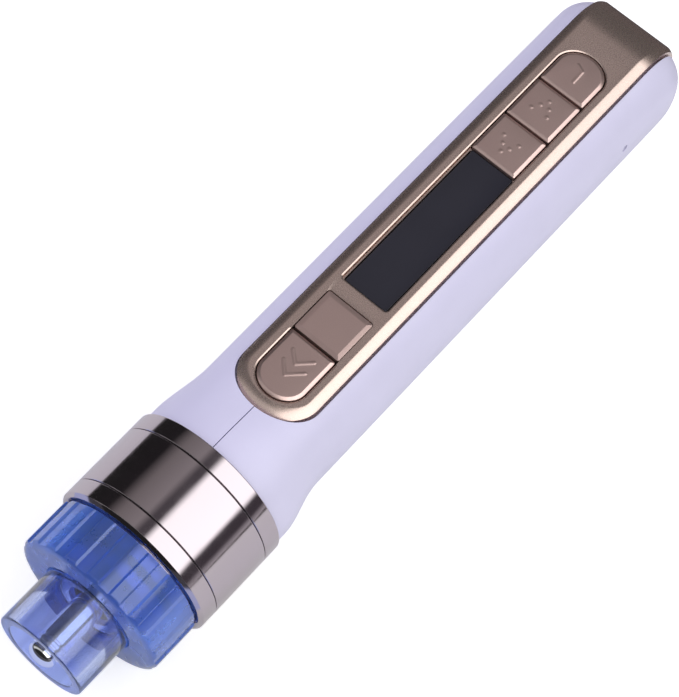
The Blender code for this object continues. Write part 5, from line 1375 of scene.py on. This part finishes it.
class PEN_OT_studio(PenOperator, bpy.types.Operator):
    """Make the white floor, the soft lights, the world and the camera"""

    bl_idname = "pen.studio"
    bl_label = "Studio"

    def execute(self, context):
        self.make_floor()
        self.make_world(context.scene)
        self.make_lamp("key_softbox", (0.06, -0.62, 0.72), 0.7, 3.2, (1.0, 1.0, 1.0))
        self.make_lamp("fill_softbox", (-0.25, 0.55, 0.75), 0.6, 2.2, (0.7, 0.66, 1.0))
        self.make_camera(context.scene)
        context.scene.view_settings.view_transform = "Standard"
        return {"FINISHED"}

    def make_floor(self):
        """A white paper floor that stays white to the eye and through the clear nozzle, but keeps a shadow."""
        reach = np.array([-3.0, 3.0])
        x, y = np.meshgrid(reach, reach, indexing="ij")
        mesh = bpy.data.meshes.new("studio_floor")
        mesh.from_pydata(np.stack([x, y, 0 * x], axis=-1).reshape(-1, 3).tolist(), [], [(0, 2, 3, 1)])
        floor = bpy.data.objects.new("studio_floor", mesh)
        bpy.context.scene.collection.objects.link(floor)
        material, tree, shader, where = start("white_paper_sweep", (0.85, 0.85, 0.85), Roughness=0.9)
        path = add(tree, "ShaderNodeLightPath")
        # Painted reflections: in glossy rays alone, the floor turns violet under the nozzle and black beyond both ends
        along = add(tree, "ShaderNodeSeparateXYZ", {0: where}).outputs["X"]
        paper = (0.85, 0.85, 0.85, 1)
        for start_x, end_x, reflected_colour in PAINTED_FLOOR_REFLECTIONS:
            share = {"Value": along, "From Min": start_x, "From Max": end_x}
            share = add(tree, "ShaderNodeMapRange", share, interpolation_type="SMOOTHSTEP").outputs["Result"]
            share = add(tree, "ShaderNodeMath", {0: share, 1: path.outputs["Is Glossy Ray"]}, operation="MULTIPLY").outputs[0]
            paper = add(tree, "ShaderNodeMix", {0: share, 6: paper, 7: (*reflected_colour, 1)}, data_type="RGBA").outputs[2]
        tree.links.new(paper, shader.inputs["Base Color"])
        lift = 0.0
        for ray, strength in (("Is Camera Ray", 0.5), ("Is Transmission Ray", 0.3)):
            inputs = {0: path.outputs[ray], 1: strength, 2: lift}
            lift = add(tree, "ShaderNodeMath", inputs, operation="MULTIPLY_ADD").outputs[0]
        tree.links.new(lift, shader.inputs["Emission Strength"])
        shader.inputs["Emission Color"].default_value = (1, 1, 1, 1)
        mesh.materials.append(material)

    def make_world(self, scene):
        """White to the camera, plain light on surfaces, and bands of flags and panels in glossy things."""
        world = bpy.data.worlds.new("white_studio")
        scene.world = world
        world.use_nodes = True
        tree = world.node_tree
        tree.nodes.clear()
        toward = add(tree, "ShaderNodeSeparateXYZ", {0: add(tree, "ShaderNodeTexCoord").outputs["Generated"]})
        front = add(tree, "ShaderNodeMath", {0: toward.outputs["Y"], 1: -1.0}, operation="MULTIPLY")
        angle = add(tree, "ShaderNodeMath", {0: front.outputs[0], 1: toward.outputs["Z"]}, operation="ARCTAN2")
        ramps = []
        for value, reach, rows in (
            (angle.outputs[0], pi, [(turn / 180, level, share) for turn, level, share in STUDIO_BANDS]),
            (toward.outputs["X"], 1.0, [(lean, (level,) * 3, share) for lean, share, level in NOSE_WALL]),
            (toward.outputs["X"], 1.0, [(lean, (level,) * 3, share) for lean, share, level in END_FLAGS]),
        ):
            share = add(tree, "ShaderNodeMapRange", {"Value": value, "From Min": -reach, "From Max": reach})
            ramp = add(tree, "ShaderNodeValToRGB", {"Fac": share.outputs["Result"]})
            stops = ramp.color_ramp.elements
            stops.remove(stops[1])
            for k, (place, level, cover) in enumerate(rows):
                stop = stops[0] if k == 0 else stops.new((1 + place) / 2)
                stop.position = (1 + place) / 2
                stop.color = (*(part / STUDIO_TOP for part in level), cover)
            ramps.append(ramp)
        bands, wall, flags = ramps
        both = {0: wall.outputs["Alpha"], 1: bands.outputs["Alpha"]}
        both = add(tree, "ShaderNodeMath", both, operation="MULTIPLY").outputs[0]
        colour = bands.outputs["Color"]
        for share, ramp in ((both, wall), (flags.outputs["Alpha"], flags)):
            mix = add(tree, "ShaderNodeMix", {0: share, 6: colour, 7: ramp.outputs["Color"]}, data_type="RGBA")
            colour = mix.outputs[2]
        studio = add(tree, "ShaderNodeBackground", {"Color": colour, "Strength": STUDIO_TOP})
        plain = add(tree, "ShaderNodeBackground", {"Color": (1, 1, 1, 1), "Strength": AMBIENT})
        white = add(tree, "ShaderNodeBackground", {"Color": (1, 1, 1, 1), "Strength": 1.0})
        path = add(tree, "ShaderNodeLightPath")
        glossy = add(
            tree,
            "ShaderNodeMath",
            {0: path.outputs["Is Glossy Ray"], 1: path.outputs["Is Transmission Ray"]},
            operation="ADD",
            use_clamp=True,
        )
        around = add(tree, "ShaderNodeMixShader", {0: glossy.outputs[0], 1: plain.outputs[0], 2: studio.outputs[0]})
        seen = add(tree, "ShaderNodeMixShader", {0: path.outputs["Is Camera Ray"], 1: around.outputs[0], 2: white.outputs[0]})
        add(tree, "ShaderNodeOutputWorld", {"Surface": seen.outputs[0]})

    def make_lamp(self, name, place, size, power, colour):
        """A square softbox that faces the pen and doesn't show in its metal."""
        lamp = bpy.data.lights.new(name, "AREA")
        lamp.size = size
        lamp.energy = power
        lamp.color = colour
        obj = bpy.data.objects.new(name, lamp)
        obj.location = place
        obj.rotation_euler = (-Vector(place)).to_track_quat("-Z", "Y").to_euler()
        obj.visible_glossy = False
        obj.visible_transmission = False
        bpy.context.scene.collection.objects.link(obj)

    def make_camera(self, scene):
        """The camera of the photograph, turned, tilted and rolled as the fit gives."""
        turn, tilt, roll, spin = (radians(a) for a in (CAMERA_TURN, CAMERA_TILT, CAMERA_ROLL, PICTURE_TURN))
        back = Vector((-np.sin(turn), -np.cos(turn) * np.sin(tilt), np.cos(turn) * np.cos(tilt)))
        right = Vector((0, 1, 0)).cross(back).normalized()
        up = back.cross(right)
        lean = roll - spin
        across = right * np.cos(lean) + up * np.sin(lean)
        data = bpy.data.cameras.new("photo_camera")
        data.lens = CAMERA_LENS
        data.sensor_width = 36
        data.clip_start, data.clip_end = 0.01, 20
        camera = bpy.data.objects.new("photo_camera", data)
        camera.matrix_world = Matrix.Translation(CAMERA_AT) @ Matrix((across, back.cross(across), back)).transposed().to_4x4()
        scene.collection.objects.link(camera)
        scene.camera = camera


OPERATORS = (
    PEN_OT_metal_rings,
    PEN_OT_clear_nozzle,
    PEN_OT_depth_collar,
    PEN_OT_nose,
    PEN_OT_push_rod,
    PEN_OT_grip_shells,
    PEN_OT_key_panel,
    PEN_OT_keys,
    PEN_OT_display,
    PEN_OT_socket_and_screws,
    PEN_OT_inside,
    PEN_OT_studio,
)


class PEN_PT_panel(bpy.types.Panel):
    """The list of operators with the sizes and colours they use"""

    bl_label = "Mesotherapy pen"
    bl_idname = "PEN_PT_panel"
    bl_space_type = "VIEW_3D"
    bl_region_type = "UI"
    bl_category = "Pen"

    def draw(self, context):
        layout = self.layout
        for operator in OPERATORS:
            layout.operator(operator.bl_idname)
        for group in (context.scene.pen_sizes, context.scene.pen_colours):
            box = layout.box()
            for name in group.bl_rna.properties.keys():
                if name not in ("rna_type", "name"):
                    box.prop(group, name)


CLASSES = (PenSizes, PenColours, *OPERATORS, PEN_PT_panel)


def register():
    """Register the classes and the two groups of settings."""
    for cls in CLASSES:
        bpy.utils.register_class(cls)
    bpy.types.Scene.pen_sizes = PointerProperty(type=PenSizes)
    bpy.types.Scene.pen_colours = PointerProperty(type=PenColours)


def unregister():
    """Take back what register did."""
    del bpy.types.Scene.pen_colours
    del bpy.types.Scene.pen_sizes
    for cls in reversed(CLASSES):
        bpy.utils.unregister_class(cls)


def main():
    """Register, clear what isn't the frame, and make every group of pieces."""
    register()
    kept = set(frame["nodes"].values()) | set(frame["bodies"].values())
    for obj in list(bpy.data.objects):
        if obj not in kept:
            bpy.data.objects.remove(obj)
    for operator in OPERATORS:
        group, name = operator.bl_idname.split(".")
        getattr(getattr(bpy.ops, group), name)()


if __name__ == "__main__":
    main()
